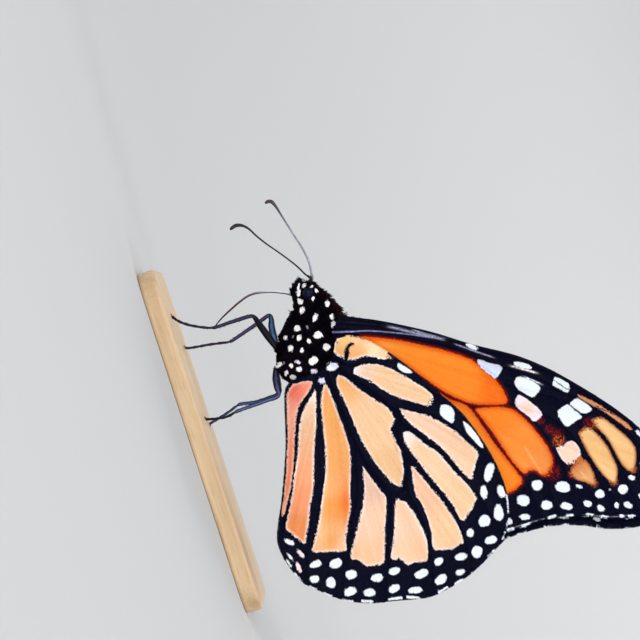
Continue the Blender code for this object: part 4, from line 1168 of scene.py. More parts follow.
# Spots of the body's sides: x, z, width, height, then lean in degrees and colour where they differ
# from 0 and MILK.
BODY_BLACK = (6, 3, 12)
BACK_BROWN = (48, 24, 32)
BROWN_TIP = (74, 40, 42)
GREY = (150, 148, 160)
LAVENDER = (240, 232, 250)
MILK = (255, 253, 255)
BODY_SPOTS = (
    (2.75, 20.97, 0.34, 0.34), (2.0, 20.45, 0.18, 0.18), (3.6, 20.1, 0.62, 0.34, -30),
    (1.45, 19.6, 0.50, 0.46), (0.72, 19.5, 0.4, 0.22, 10, GREY), (2.15, 18.34, 1.0, 0.42, -22),
    (1.5, 18.6, 0.9, 0.20, -27), (3.5, 18.25, 0.75, 0.66), (4.8, 18.15, 1.2, 0.60, -38),
    (5.1, 21.8, 0.62, 0.62), (7.1, 21.9, 0.72, 0.42, 30), (8.2, 21.8, 0.68, 0.66),
    (6.4, 19.6, 1.2, 0.44, -42), (8.95, 19.25, 0.85, 1.15, 15), (10.9, 19.85, 0.85, 1.1, 10),
    (13.75, 19.8, 1.05, 1.8, -8), (7.1, 16.7, 0.72, 0.86), (8.5, 16.55, 0.68, 0.72),
    (9.45, 17.65, 0.58, 0.44, 20), (7.4, 18.2, 0.3, 0.22, 0, GREY), (10.35, 16.35, 0.5, 0.5),
    (12.2, 17.4, 0.9, 1.3), (13.7, 17.0, 0.5, 0.95, 0, LAVENDER), (15.25, 17.7, 0.8, 0.95),
    (8.0, 15.65, 0.2, 0.2, 0, GREY), (7.9, 14.6, 0.46, 0.5), (9.6, 14.8, 0.66, 0.68),
    (11.7, 15.3, 0.28, 0.75, -15, LAVENDER), (12.75, 15.1, 0.46, 0.85, -8), (11.85, 14.25, 0.5, 0.46),
    (13.5, 13.9, 0.6, 0.66), (12.7, 13.2, 0.6, 0.46, 10), (11.3, 13.3, 0.22, 0.3, 0, GREY),
    (11.3, 12.45, 0.6, 1.0, 18),
)
# White spots low on each side of the abdomen's rings: height above the axis as a share of its depth.
ABDOMEN_SPOT_ROWS = (-0.55, 0.10)


def body_ring(x):
    """Middle height, half height and half width of the body at places along it."""
    fine = along(BODY_STATIONS, np.linspace(0, 1, 600))
    top, bottom, half = (np.interp(x, fine[:, 0], fine[:, axis]) for axis in (1, 2, 3))
    return (top + bottom) / 2, (top - bottom) / 2, half


def coat_depth(x):
    """How far the body's skin lies under the hair tips."""
    return np.interp(x, (1.0, 3.6, 5.0, 8.0, 12.5, 15.0, 30.0, 31.2),
                     (0.10, 0.20, 0.36, 0.42, 0.36, 0.20, 0.16, 0.06))


def rings_mesh(rings):
    """A closed skin of triangles over rings of points, with its ends brought to a point."""
    count, sides = rings.shape[:2]
    points = np.concatenate((rings.reshape(-1, 3), [rings[0].mean(0)], [rings[-1].mean(0)]))
    number = np.arange(count * sides).reshape(count, sides)
    after = np.roll(number, -1, axis=1)
    first = np.stack((number[:-1], after[:-1], after[1:]), axis=-1).reshape(-1, 3)
    second = np.stack((number[:-1], after[1:], number[1:]), axis=-1).reshape(-1, 3)
    head = np.stack((after[0], number[0], np.full(sides, count * sides)), axis=-1)
    tail = np.stack((number[-1], after[-1], np.full(sides, count * sides + 1)), axis=-1)
    return points, np.concatenate((first, second, head, tail))


def tube(route, count, sides, shape=None):
    """A tube round a smooth route of x, y, z and radius; shape(share, angle) scales the radius."""
    fine = along(route, np.linspace(0, 1, count))
    middle, radius = fine[:, :3], fine[:, 3]
    run = unit(np.gradient(middle, axis=0))
    first = unit(np.cross(run, (0.0, 1.0, 0.0)))
    second = np.cross(run, first)
    angle = 2 * np.pi * np.arange(sides) / sides
    scale = shape(np.linspace(0, 1, count)[:, None], angle[None]) if shape else 1
    reach = (radius[:, None] * scale)[..., None]
    return rings_mesh(middle[:, None] + reach * (np.cos(angle)[None, :, None] * first[:, None]
                                                 + np.sin(angle)[None, :, None] * second[:, None]))


def body_loft():
    """The bare body from face to tail, with the neck, the waist and the abdomen's rings."""
    count, sides = 260, 64
    x = np.linspace(0.97, 31.1, count)
    middle, high, half = body_ring(x)
    coat = coat_depth(x)
    high, half = high - coat, half - coat
    pinch = 1 - 0.05 * np.exp(-((x - NECK_X) / 0.40) ** 2) - 0.10 * np.exp(-((x - WAIST_X) / 0.5) ** 2)
    for meet in SEGMENTS:
        behind = x - meet
        pinch -= np.where(behind > 0, 0.075 * np.exp(-behind / 0.35), 0.02 * np.exp(behind / 0.12))
    angle = 2 * np.pi * np.arange(sides) / sides
    # the thorax is squarer in section than the abdomen
    square = np.interp(x, (3.0, 6.0, 12.0, 15.0), (0.90, 0.82, 0.86, 1.0))[:, None]
    across, upward = (np.sign(part) * np.abs(part) ** square for part in (np.cos(angle), np.sin(angle)))
    return rings_mesh(np.stack((
        np.repeat(x[:, None], sides, axis=1),
        (half * pinch)[:, None] * across,
        middle[:, None] + (high * pinch)[:, None] * upward), axis=-1))


# What joins each wing to the thorax: the wing's hinge edge and level, the depth and radius of the
# start, two steps from the hinge with their radii, then share of the edge and x, z of each start.
WING_HOLDS = (
    (FORE_EDGES[3], fore_level, (0.9, 0.9), (0.0, -0.3, -0.15, 0.38), (0.15, -0.05, 0.25, 0.20),
     ((0.05, 8.2, 20.6), (0.35, 8.8, 20.2), (0.65, 9.6, 20.0), (0.95, 10.6, 20.2))),
    (HIND_EDGES[3], hind_level, (1.2, 1.0), (-0.15, -0.60, -0.25, 0.42), (0.25, -0.12, 0.05, 0.20),
     ((0.02, 10.2, 19.6), (0.25, 10.8, 18.8), (0.5, 11.6, 18.0), (0.75, 12.2, 17.2),
      (0.98, 13.2, 16.2))),
)
# Hips: from inside the thorax to the root of the leg.
HIPS = (
    ((8.6, 1.1, 14.6), (8.75, 1.7, 12.95)), ((11.6, 1.0, 13.6), (11.75, 1.5, 11.95)),
    ((7.2, 0.7, 15.6), (7.5, 0.85, 14.0)),
)
THROAT = ((8.2, 0.8, 15.4, 1.2), (6.4, 0.7, 16.3, 1.0), (5.0, 0.5, 17.5, 0.75), (4.0, 0.4, 18.2, 0.6))
FORELEG = (
    (7.5, 0.85, 13.92, 0.28), (6.5, 0.9, 14.97, 0.29), (5.5, 0.95, 15.95, 0.28),
    (4.8, 0.85, 16.55, 0.27), (4.5, 0.6, 16.6, 0.27),
)


def on_side(side, route):
    """A route of x, y, z and radius on the left (-1) or right (1) side of the body."""
    return np.multiply(route, (1, side, 1, 1))


def bridges(side):
    """Muscle and sclerite lumps that join the wings and legs to the thorax."""
    routes = []
    for edge, level, (depth, radius), middle, end, starts in WING_HOLDS:
        for share, start_x, start_z in starts:
            x, z = along(edge, share).T
            hinge = np.concatenate((x, level(x, z), z, (0.0,)))
            routes.append(((start_x, depth, start_z, radius), hinge + middle, hinge + end))
    for start, (x, y, z) in HIPS:
        routes.append(((*start, 0.8), (x, y, z + 0.2, 0.46), (x - 0.1, y, z - 0.1, 0.36)))
    return [tube(on_side(side, route), 10, 14) for route in routes]


def body_skin(look):
    """The one skin of head, palps, thorax and abdomen."""
    shapes = [body_loft()]
    for side in (-1, 1):
        shapes.append(tube(on_side(side, PALP), 24, 16))
        shapes.append(tube([(x, side * y * 0.9, z, 0.2) for x, y, z, _ in FORELEG], 24, 10))
        shapes.append(tube(on_side(side, THROAT), 16, 16))
        shapes.extend(bridges(side))
    rough = mesh_piece("body_skin", *joined(shapes), look)
    remesh = rough.modifiers.new("one_skin", "REMESH")
    remesh.mode = "VOXEL"
    remesh.voxel_size = SKIN_VOXEL * UNIT
    ease = rough.modifiers.new("ease", "SMOOTH")
    ease.factor = 0.5
    ease.iterations = 3
    bpy.context.view_layer.update()
    mesh = bpy.data.meshes.new_from_object(rough.evaluated_get(bpy.context.evaluated_depsgraph_get()))
    rough.modifiers.clear()
    old = rough.data
    rough.data = mesh
    bpy.data.meshes.remove(old)
    mesh.name = "body_skin"
    mesh.shade_smooth()
    return rough


def body_paint(places, facing):
    """The white marks at places on the body, and the black or brown between them."""
    flat = places[:, (0, 2)]
    flat = flat + 0.07 * np.sin(flat[:, ::-1] * 4.3 + (0.5, 1.7))
    mark, tone, _ = painted(flat, (), BODY_SPOTS, trim=0.02, white=MILK)
    sideways = np.abs(facing[:, 1])
    mark = np.where(sideways > np.where(places[:, 0] > 4.0, 0.35, 0.12), mark, -1.0)
    middle, high, _ = body_ring(places[:, 0])
    share = (places[:, 2] - middle) / high
    for start, end in zip(SEGMENTS, SEGMENTS[1:]):
        for row in ABDOMEN_SPOT_ROWS:
            spread = np.hypot((places[:, 0] - (start + end) / 2) / 0.42, (share - row) / 0.16)
            depth = (1 - spread) * 0.35
            better = (depth > mark) & (sideways > 0.25)
            mark = np.where(better, depth, mark)
            tone[better & (depth > -0.5)] = linear(WHITE)
    brown = 0.6 * smooth_step(share, 0.7, 1.02) * smooth_step(places[:, 0], 2.5, 5.0)
    brown = brown[:, None]
    return mark, tone, linear(BODY_BLACK) * (1 - brown) + linear(BACK_BROWN) * brown


def in_eye(places, grow):
    """True for places inside an eye made larger all round by grow."""
    left = np.stack((places[:, 0], np.abs(places[:, 1]), places[:, 2]), axis=1)
    return (((left - EYE_PLACE) / (np.array(EYE_RADII) + grow)) ** 2).sum(1) < 1


def lie_of_coat(places, facings, chance):
    """Which way the hair lies: back along the body, up and forward on the palps."""
    count = len(places)
    lie = np.tile((1.0, 0.0, -0.12), (count, 1))
    on_palp = (places[:, 2] < 17.6 + 0.62 * (3.2 - places[:, 0])) & (places[:, 0] < 2.4)
    lie[on_palp] = (-0.75, 0.0, 0.65)
    lie[(places[:, 0] < 2.2) & ~on_palp] = (-0.15, 0.0, 1.0)
    low = (places[:, 0] > 4.5) & (places[:, 0] < 13.5)
    lie[low, 2] -= 0.5 * smooth_step(19.0 - places[low, 2], 0.0, 5.0)
    lie += chance.normal(0, 0.16, (count, 3))
    return unit(lie - facings * (lie * facings).sum(1)[:, None])


def gathered(places, tips, chance, share):
    """Hair tips drawn together in locks, each to the tip of the lock whose root is nearest."""
    leaders = np.flatnonzero(chance.random(len(places)) < share)
    tree = KDTree(len(leaders))
    for number, leader in enumerate(leaders):
        tree.insert(places[leader], number)
    tree.balance()
    nearest = leaders[[tree.find(place)[1] for place in places]]
    return tips + 0.72 * (tips[nearest] - tips)


def coat_piece(name, places, facings, chance, length, width, stand, look, locks=0.0):
    """Tufts over the body; stand is how far a tuft's tip stands off, as a share of its length.

    A share of the tufts, locks, lead locks that the others gather into."""
    lie = lie_of_coat(places, facings, chance)
    mark, tone, ink = body_paint(places + lie * (0.45 * length)[:, None], facings)
    mark = mark + chance.normal(0, 0.03, len(places))
    white = mark > 0
    beside = np.clip(-mark / 0.5, 0.45, 1.0)
    length = np.where(white, 0.36, length * beside)
    width = np.where(white, width * 1.7, width)
    stand = np.where(white, 0.07, stand * beside)
    places = places + facings * np.where(white, 0.16, 0.0)[:, None]
    heading = lie * np.sqrt(np.maximum(1 - stand**2, 0.05))[:, None]
    if locks:
        reach = heading + facings * stand[:, None]
        tips = gathered(places, places + reach * length[:, None], chance, locks) - places
        rise = (tips * facings).sum(1)
        heading = (tips - facings * rise[:, None]) / length[:, None]
        stand = rise / length
    roll = chance.normal(0, 0.25, len(places)) * np.where(white, 0.2, 1.0)
    turn = np.arctan2(places[:, 1], places[:, 2] - body_ring(places[:, 0])[0]) / (2 * np.pi) + 0.5
    bake_place = 0.01 + 0.98 * np.stack((places[:, 0] / BAKE_LENGTH, turn), axis=1)
    points, corners, bake = vanes(places - facings * 0.02, heading, facings, length, width,
                                  length * stand, roll, TUFT, bake_place)
    tone = varied(tone, chance, 0.03, 0.9, 1.1)
    ink = varied(ink, chance, 0.45, 0.3, 2.6)
    data = for_points(TUFT, mark=mark, tone=tone, ground=ink)
    back = 0.45 * smooth_step(facings[:, 2], 0.1, 0.8) * (places[:, 0] < 12) * bool(locks)
    data["ground"].reshape(-1, len(TUFT), 3)[:, VANE_TIP] += back[:, None] * (linear(BROWN_TIP) - ink)
    belongs(mesh_piece(name, points, corners, look, False, bake, **data), "fur")


def build_body():
    look = fur_look()
    skin = body_skin(look)
    mesh = skin.data
    mark, tone, ink = body_paint(drawing_place(read(mesh.vertices, "co")), read(mesh.vertices, "normal"))
    add_data(mesh, mark=mark, tone=tone, ground=ink)
    belongs(skin, "fur", "head", "thorax", "abdomen", "palp_left", "palp_right")
    places, facings = drawing_place(read(mesh.polygons, "center")), read(mesh.polygons, "normal")
    outside = ~in_eye(places, 0.06)
    places, facings = places[outside], facings[outside]
    chance = np.random.default_rng(23)
    count = len(places)
    places = places + chance.uniform(-0.05, 0.05, places.shape)
    x, upward = places[:, 0], facings[:, 2]
    length = np.interp(x, HAIR_X, (0.26, 0.36, 0.52, 0.56, 0.50, 0.36, 0.28))
    stand = np.interp(x, (0.5, 3.5, 6.0, 13.0, 15.5), (0.50, 0.50, 0.42, 0.38, 0.22))
    length = length * chance.uniform(0.75, 1.2, count)
    stand = stand * chance.uniform(0.6, 1.25, count)
    width = chance.uniform(0.085, 0.13, count)
    # the coat is short on the lumps that reach out to the wings and legs
    beyond = smooth_step(np.abs(places[:, 1]) - 0.9 * body_ring(x)[2], 0.0, 0.6)
    length, stand = length * (1 - 0.55 * beyond), stand * (1 - 0.7 * beyond)
    coat_piece("body_coat", places, facings, chance, length, width, stand, look)
    pick = chance.random(count) < (np.interp(x, (0.5, 5.0, 13.5, 16.0), (0.55, 0.60, 0.45, 0.12))
                                   + 0.35 * smooth_step(upward, 0.2, 0.7) * (x < 12))
    pick &= beyond < 0.5
    places, facings, upward, x = places[pick], facings[pick], upward[pick], x[pick]
    count = len(places)
    length = np.interp(x, HAIR_X, (0.52, 0.66, 0.85, 0.88, 0.72, 0.5, 0.36))
    reach = np.interp(upward, (-0.4, 0.2, 0.8), (0.60, 0.85, 1.3))
    length = length * chance.uniform(0.45, 1.3, count) * np.where(x < 3.0, 1.0, reach)
    coat_piece("body_hairs", places, facings, chance, length, chance.uniform(0.035, 0.055, count),
               chance.uniform(0.45, 0.85, count) * np.where(x < 3.0, 1.2, 1.0), look, locks=0.11)


# ---------------------------------------------------------------- eyes

def build_eyes():
    """Each eye is a rounded lens of some thousands of six-sided facets, each a low dome."""
    look = eye_look()
    bpy.ops.mesh.primitive_ico_sphere_add(subdivisions=5, radius=1.0)
    ball = bpy.context.object
    centres = read(ball.data.vertices, "co")
    triangles = read(ball.data.polygons, "vertices", np.int32)
    bpy.data.objects.remove(ball)
    rims = unit(centres[triangles].mean(1))
    edges = {}
    for number, triangle in enumerate(triangles):
        for first, second in zip(triangle, np.roll(triangle, -1)):
            edges[(int(first), int(second))] = number
    corners = np.array([(first, len(centres) + own, len(centres) + edges[(second, first)])
                        for (first, second), own in edges.items()])
    points = np.concatenate((centres * 1.006, rims * 0.992)) * EYE_RADII + EYE_PLACE
    for side, hand in ((-1, "left"), (1, "right")):
        faces = corners if side < 0 else corners[:, ::-1]
        piece = mesh_piece(f"eye_{hand}_lens", points * (1.0, side, 1.0), faces, look)
        belongs(piece, "eye", f"eye_{hand}")


# ---------------------------------------------------------------- feelers, mouth and legs

LEFT_ANTENNA = (
    (1.45, -0.55, 20.3, 0.32), (0.72, -0.62, 20.78, 0.32), (0.0, -0.75, 20.25, 0.30),
    (-1.5, -1.15, 19.45, 0.27), (-3.0, -1.6, 18.45, 0.27), (-4.5, -2.1, 17.35, 0.27),
    (-6.0, -2.6, 16.2, 0.27), (-7.5, -3.15, 15.2, 0.28), (-8.75, -3.6, 14.5, 0.30),
    (-9.5, -3.9, 13.75, 0.34), (-9.78, -4.1, 12.95, 0.36), (-9.65, -4.25, 12.3, 0.34),
    (-9.45, -4.3, 11.9, 0.27),
)
RIGHT_ANTENNA = (
    (1.45, 0.55, 20.4, 0.32), (0.75, 0.62, 20.95, 0.32), (0.0, 0.75, 21.1, 0.30),
    (-1.3, 1.1, 21.25, 0.27), (-2.8, 1.55, 21.15, 0.27), (-4.4, 2.05, 20.85, 0.27),
    (-6.2, 2.6, 20.35, 0.27), (-8.2, 3.2, 19.85, 0.28), (-10.0, 3.7, 19.4, 0.30),
    (-11.1, 4.0, 19.1, 0.34), (-11.8, 4.2, 18.75, 0.36), (-11.98, 4.3, 18.3, 0.34),
    (-11.85, 4.3, 17.8, 0.27),
)
PROBOSCIS = (
    (2.6, 0.0, 18.0, 0.34), (1.76, 0.0, 16.95, 0.34), (1.33, 0.0, 16.1, 0.30), (0.83, 0.0, 14.9, 0.28),
    (0.47, 0.0, 13.6, 0.27), (0.28, 0.0, 12.4, 0.27), (0.35, 0.0, 11.2, 0.27), (0.8, 0.0, 9.8, 0.27),
    (1.4, 0.0, 8.4, 0.27), (2.05, 0.0, 7.0, 0.27), (2.7, 0.0, 5.9, 0.27), (3.25, 0.0, 5.1, 0.27),
)
# Each leg: its route, and how many of the route's points are in its thigh and its shin.
LEGS = {
    "midleg_left": (((8.75, -1.7, 12.95, 0.42), (7.2, -2.2, 12.45, 0.46), (5.5, -2.9, 11.9, 0.42),
                     (4.1, -3.4, 11.5, 0.34), (3.4, -3.6, 11.2, 0.32), (3.22, -3.7, 10.6, 0.31),
                     (3.2, -3.9, 8.2, 0.31), (3.22, -4.1, 5.7, 0.30), (3.15, -4.15, 5.1, 0.29),
                     (2.6, -4.3, 3.7, 0.27), (1.8, -4.5, 2.2, 0.27), (1.0, -4.7, 1.1, 0.27),
                     (0.3, -4.8, 0.45, 0.27), (-0.2, -4.85, 0.1, 0.27)), 4, 8),
    "midleg_right": (((8.75, 1.7, 12.95, 0.42), (7.3, 2.2, 13.0, 0.44), (5.7, 2.9, 13.15, 0.40),
                      (4.5, 3.4, 13.45, 0.34), (3.95, 3.6, 13.4, 0.32), (3.98, 3.65, 12.9, 0.31),
                      (4.6, 3.75, 11.0, 0.30), (5.2, 3.9, 9.0, 0.29), (5.75, 4.1, 7.1, 0.28),
                      (5.8, 4.15, 6.6, 0.28), (5.6, 4.3, 5.4, 0.27), (5.3, 4.5, 3.8, 0.27),
                      (5.05, 4.65, 2.0, 0.27), (4.85, 4.75, 0.7, 0.27), (4.65, 4.8, 0.1, 0.27)), 4, 9),
    "hindleg_left": (((11.75, -1.5, 11.85, 0.38), (13.0, -2.1, 11.5, 0.44), (14.3, -2.8, 11.3, 0.40),
                      (15.2, -3.2, 11.25, 0.35), (15.5, -3.3, 10.8, 0.34), (15.5, -3.4, 9.5, 0.36),
                      (15.58, -3.6, 7.4, 0.34), (15.62, -3.75, 5.4, 0.32), (15.72, -3.8, 4.5, 0.30),
                      (15.95, -3.9, 3.1, 0.30), (15.75, -4.0, 1.7, 0.30), (15.5, -4.05, 0.6, 0.30),
                      (15.35, -4.1, 0.1, 0.30)), 3, 8),
    "hindleg_right": (((11.75, 1.5, 11.85, 0.38), (13.0, 2.1, 11.6, 0.42), (14.2, 2.8, 11.45, 0.38),
                       (15.0, 3.2, 11.35, 0.34), (15.3, 3.3, 10.8, 0.33), (15.4, 3.4, 9.5, 0.34),
                       (15.35, 3.55, 7.4, 0.32), (15.0, 3.7, 5.6, 0.30), (15.0, 3.75, 4.9, 0.29),
                       (15.5, 3.9, 3.4, 0.27), (15.9, 4.0, 1.9, 0.27), (16.2, 4.05, 0.7, 0.27),
                       (16.3, 4.1, 0.1, 0.27)), 3, 8),
}
LEG_BLACK = (9, 8, 16)
FOOT_JOINTS = 5
# Colours of the painted blue highlights on the outer and on the inner face of a leg's thigh, shin and
# foot.
LEG_HIGHLIGHT_BANDS = {
    "midleg": (((8, 7, 14), (54, 52, 84), (34, 28, 44)),
               ((100, 140, 200), (84, 68, 120), (60, 46, 80))),
    "hindleg": (((84, 84, 140), (90, 100, 156), (16, 12, 22)),
                ((60, 70, 130), (70, 96, 150), (56, 76, 116))),
}
ANTENNA_RINGS = 46
# Colours along the feelers and the proboscis: share of the way from the head, colour.
LEFT_ANTENNA_TONES = ((0.0, (12, 8, 10)), (0.4, (52, 22, 16)), (0.8, (24, 14, 16)), (1.0, (44, 28, 26)))
# The right antenna's pale grey shaft is a painted sheen over dark chitin like the left one's.
RIGHT_ANTENNA_SHEEN_TONES = (
    (0.0, (24, 22, 34)), (0.12, (160, 160, 176)), (0.6, (148, 148, 164)), (0.78, (84, 76, 90)),
    (1.0, (72, 54, 60)),
)
# Near the head the proboscis's pale white is a painted highlight, and its purple-brown further on a
# painted reflection.
PROBOSCIS_HIGHLIGHT_TONES = (
    (0.0, (90, 86, 110)), (0.10, (244, 246, 252)), (0.30, (226, 228, 240)), (0.44, (128, 92, 124)),
    (0.65, (92, 40, 66)), (1.0, (70, 30, 48)),
)


def with_radius(route, radii):
    """A route with new radii, given at shares of the way along it."""
    route = np.array(route)
    lengths = run_lengths(route[:, :3])
    route[:, 3] = np.interp(lengths / lengths[-1], *zip(*radii))
    return route


def between(place, stops, colours):
    """Colours at places, run together between those of the stops."""
    return np.stack([np.interp(place, stops, band) for band in linear(colours).T], axis=1)


def tones_along(tones, count, sides, behind=1.0):
    """Colours of a tube's points, ring by ring and then its two ends; behind darkens the rear half, a
    painted shade.
    """
    place = np.concatenate((np.repeat(np.linspace(0, 1, count), sides), (0.0, 1.0)))
    rear = smooth_step(np.cos(2 * np.pi * np.arange(sides) / sides), -0.15, 0.25)
    painted_rear_shade = 1 - (1 - behind) * np.concatenate((np.tile(rear, count), (0.0, 0.0)))
    return between(place, *zip(*tones)) * painted_rear_shade[:, None]


def ringed(share, angle):
    """The rings of an antenna: each swells a little toward the next."""
    saw = (share * ANTENNA_RINGS) % 1.0
    return 1 - 0.10 * np.exp(-saw / 0.10) - 0.04 * saw


def grooved(share, angle):
    """The two halves of the proboscis, with fine rings."""
    groove = 0.26 * np.exp(-(np.minimum(angle, 2 * np.pi - angle) / 0.35) ** 2)
    groove += 0.26 * np.exp(-((angle - np.pi) / 0.35) ** 2)
    return 1 - groove - 0.03 * (np.sin(share * 2 * np.pi * 110) > 0.4)


def feeler(node_name, ending, route, radii, count, sides, shape, tones, look, behind=1.0):
    """A tube of count rings with its own radii, in place of one node."""
    fine = with_radius(along(route, np.linspace(0, 1, 60)), radii)
    piece = mesh_piece(f"{node_name}_{ending}", *tube(fine, count, sides, shape), look,
                       tone=tones_along(tones, count, sides, behind))
    belongs(piece, "feeler", node_name)


def build_feelers():
    look = shell_look("feeler_shell", 0.10, 0.42, 0.30, (1.0, 1.0, 1.0, 1.0))
    for hand, route, tones, slim in (("left", LEFT_ANTENNA, LEFT_ANTENNA_TONES, 0.85),
                                     ("right", RIGHT_ANTENNA, RIGHT_ANTENNA_SHEEN_TONES, 1.15)):
        radii = ((0.0, 0.26), (0.07, 0.25), (0.10, 0.16 * slim), (0.5, 0.135 * slim), (0.78, 0.145),
                 (0.86, 0.20), (0.93, 0.29), (0.98, 0.26), (1.0, 0.13))
        feeler(f"antenna_{hand}", "rings", route, radii, 460, 14, ringed, tones, look)
    radii = ((0.0, 0.27), (0.08, 0.25), (0.3, 0.215), (0.8, 0.16), (1.0, 0.09))
    # the proboscis's rear half is darkened as a painted shade
    feeler("proboscis", "tube", PROBOSCIS, radii, 440, 20, grooved, PROBOSCIS_HIGHLIGHT_TONES, look, 0.06)


def leg_radii(route, thigh, shin):
    """Radii along a leg: full in the thigh, narrow at the knee and ankle, five joints in the foot."""
    lengths = run_lengths(np.array(route)[:, :3])
    knee, ankle = lengths[[thigh, shin]] / lengths[-1]
    radii = [(0.0, 0.38), (0.04, 0.46), (knee * 0.35, 0.54), (knee * 0.7, 0.49), (knee * 0.94, 0.35),
             (knee, 0.27), (knee + 0.015, 0.29), (knee + (ankle - knee) * 0.3, 0.30),
             (knee + (ankle - knee) * 0.8, 0.25), (ankle - 0.01, 0.25), (ankle, 0.15)]
    stops = ankle + (1 - ankle) * (np.arange(FOOT_JOINTS + 1) / FOOT_JOINTS) ** 0.8
    for start, end in zip(stops, stops[1:]):
        radii += [(start + 0.004, 0.16), (start + (end - start) * 0.75, 0.21), (end - 0.004, 0.19)]
    radii.append((1.0, 0.12))
    return radii, knee, ankle


def spines(fine, start, end, count, length, chance):
    """Fine spines along a stretch of a leg, leaning toward the foot."""
    share = np.linspace(start, end, count) + chance.uniform(-0.004, 0.004, count)
    here = along(fine, share)
    run = unit((along(fine, np.minimum(share + 0.01, 1.0)) - here)[:, :3])
    turn = chance.uniform(0, 2 * np.pi, count)[:, None]
    first = unit(np.cross(run, (0.0, 1.0, 0.0)))
    out = first * np.cos(turn) + np.cross(run, first) * np.sin(turn)
    shapes = []
    for place, forward, outward, radius in zip(here[:, :3], run, out, here[:, 3]):
        root = place + outward * radius * 0.8
        tip = root + (forward * 0.8 + outward * 0.6) * length
        middle = (root + tip) / 2 + outward * 0.02
        shapes.append(tube(((*root, 0.035), (*middle, 0.026), (*tip, 0.006)), 4, 5))
    return shapes


def leg_shape(route, thigh, shin, chance):
    """A leg from hip to claws, with its foot brought down onto the base."""
    route = np.array(route)
    route[-1, 2] = 0.14
    radii, knee, ankle = leg_radii(route, thigh, shin)
    fine = with_radius(along(route, np.linspace(0, 1, 240)), radii)
    shapes = [tube(fine, 300, 16)]
    shapes += spines(fine, knee + 0.03, ankle - 0.01, 26, 0.36, chance)
    shapes += spines(fine, ankle + 0.01, 0.985, 30, 0.20, chance)
    foot = fine[-1, :3]
    run = unit((foot - fine[-12, :3]) * (1, 1, 0))
    for side in (-1, 1):
        across = side * np.array((-run[1], run[0], 0.0))
        shapes.append(tube((
            (*foot, 0.09),
            (*(foot + run * 0.22 + across * 0.16 + (0, 0, 0.03)), 0.06),
            (*(foot + run * 0.42 + across * 0.24 + (0, 0, -0.11)), 0.02)), 8, 7))
    return joined(shapes), fine, (0.0, knee - 0.03, knee + 0.03, ankle - 0.03, ankle + 0.03, 1.0)


def leg_tones(mesh, fine, stops, bands, side):
    """Black chitin, with a painted blue-grey highlight along the outer and the inner face of each part.
    """
    points = drawing_place(read(mesh.vertices, "co"))
    facing = read(mesh.vertices, "normal")[:, 1] * side
    apart = np.linalg.norm(points[:, None] - fine[None, :, :3], axis=2)
    nearest = apart.argmin(1)
    share = nearest / (len(fine) - 1)
    tones = np.tile(linear(LEG_BLACK), (len(points), 1))
    on_leg = apart.min(1) < fine[nearest, 3] + 0.04
    for sign, colours in zip((1, -1), bands):
        colour = between(share, stops, np.repeat(colours, 2, axis=0))
        strength = (smooth_step(facing * sign, 0.74, 1.02) * on_leg)[:, None]
        tones += strength * (colour - linear(LEG_BLACK))
    add_data(mesh, tone=tones)


def build_legs():
    look = shell_look("leg_shell", 0.08, 0.36, 0.16, (0.75, 0.80, 1.0, 1.0))
    chance = np.random.default_rng(31)
    for name, (route, thigh, shin) in LEGS.items():
        kind, hand = name.split("_")
        shape, fine, stops = leg_shape(route, thigh, shin, chance)
        piece = mesh_piece(f"{name}_shell", *shape, look)
        leg_tones(piece.data, fine, stops, LEG_HIGHLIGHT_BANDS[kind], -1 if hand == "left" else 1)
        belongs(piece, "cuticle", name)
    for side, hand in ((-1, "left"), (1, "right")):
        fine = along(on_side(side, FORELEG) * (1, 1, 1, 0.75), np.linspace(0, 1, 60))
        points, corners = joined([tube(fine, 80, 12)] + spines(fine, 0.1, 0.97, 30, 0.25, chance))
        piece = mesh_piece(f"foreleg_{hand}_shell", points, corners, look,
                           tone=np.tile(linear(LEG_BLACK), (len(points), 1)))
        belongs(piece, "cuticle", f"foreleg_{hand}")


# ---------------------------------------------------------------- base

def build_base():
    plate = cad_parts["stand_base"]
    plate.data.materials.clear()
    plate.data.materials.append(base_look())


build_body()
build_eyes()
build_feelers()
build_legs()
build_base()


# ---------------------------------------------------------------- stage, light and camera

CAMERA_DISTANCE = 0.45
PICTURE_WIDTH = 0.08816          # of the view, at the body's middle plane
PICTURE_MIDDLE = (6.86, 20.18)   # x and z of the elevation at the middle of the picture
# The camera is rolled, because the flower's side in the photo is the level floor here.
PICTURE_RIGHT = Vector((0.309, 0.0, 0.951)).normalized()
FLOOR_RADIUS = 0.6
WALL_CURVE = 0.9


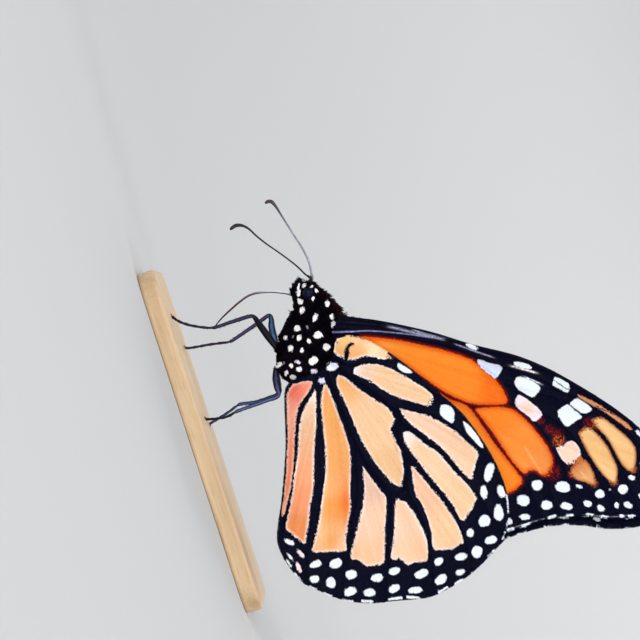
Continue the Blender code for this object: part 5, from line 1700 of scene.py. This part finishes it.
def build_stage():
    """A pale floor that curves up all round into a wall far from the model."""
    profile = [(FLOOR_RADIUS * step / 4, 0.0) for step in range(5)]
    for angle in np.linspace(0, np.pi / 2, 25)[1:]:
        profile.append((FLOOR_RADIUS + WALL_CURVE * math.sin(angle), WALL_CURVE * (1 - math.cos(angle))))
    sides = 72
    angle = 2 * np.pi * np.arange(sides) / sides
    radius, height = np.array(profile).T[..., None]
    points = np.stack((radius * np.cos(angle), radius * np.sin(angle), height + 0 * angle), axis=-1)
    number = np.arange(radius.size * sides).reshape(-1, sides)
    after = np.roll(number, -1, axis=1)
    corners = np.stack((number[:-1], after[:-1], after[1:], number[1:]), axis=-1).reshape(-1, 4)
    mesh_piece("cove", drawing_place(points.reshape(-1, 3)), corners, stage_look())


def area_light(name, place, size, power, colour):
    """A round lamp that shines on the middle of the model."""
    lamp = bpy.data.lights.new(name, "AREA")
    lamp.shape = "DISK"
    lamp.size = size
    lamp.energy = power
    lamp.color = colour
    holder = bpy.data.objects.new(name, lamp)
    bpy.context.scene.collection.objects.link(holder)
    holder.location = place
    holder.rotation_euler = (at(20.0, 0.0, 25.0) - Vector(place)).to_track_quat("-Z", "Y").to_euler()


def build_lights():
    area_light("key", (-0.50, -1.0, 0.42), 0.55, 6.6, (1.0, 0.985, 0.96))
    area_light("fill", (0.72, -0.72, 0.24), 0.40, 3.5, (0.96, 0.975, 1.0))
    area_light("back", (0.25, 0.88, 0.72), 0.55, 3.8, (1.0, 0.99, 0.97))
    area_light("top", (0.05, -0.15, 1.25), 0.80, 4.4, (1.0, 1.0, 1.0))
    world = bpy.data.worlds.new("studio")
    world.use_nodes = True
    sky = world.node_tree.nodes["Background"]
    sky.inputs["Color"].default_value = (0.93, 0.96, 1.0, 1.0)
    sky.inputs["Strength"].default_value = 0.48
    bpy.context.scene.world = world


def build_camera():
    data = bpy.data.cameras.new("camera")
    data.sensor_width = 36.0
    data.lens = data.sensor_width * CAMERA_DISTANCE / PICTURE_WIDTH
    data.clip_start, data.clip_end = 0.01, 10.0
    camera = bpy.data.objects.new("camera", data)
    bpy.context.scene.collection.objects.link(camera)
    back = Vector((0.0, -1.0, 0.0))
    turn = Matrix((PICTURE_RIGHT, back.cross(PICTURE_RIGHT), back)).transposed().to_4x4()
    x, z = PICTURE_MIDDLE
    camera.matrix_world = Matrix.Translation(at(x, 0.0, z) + back * CAMERA_DISTANCE) @ turn
    bpy.context.scene.camera = camera


build_stage()
build_lights()
build_camera()
bpy.context.scene.view_settings.view_transform = "Standard"
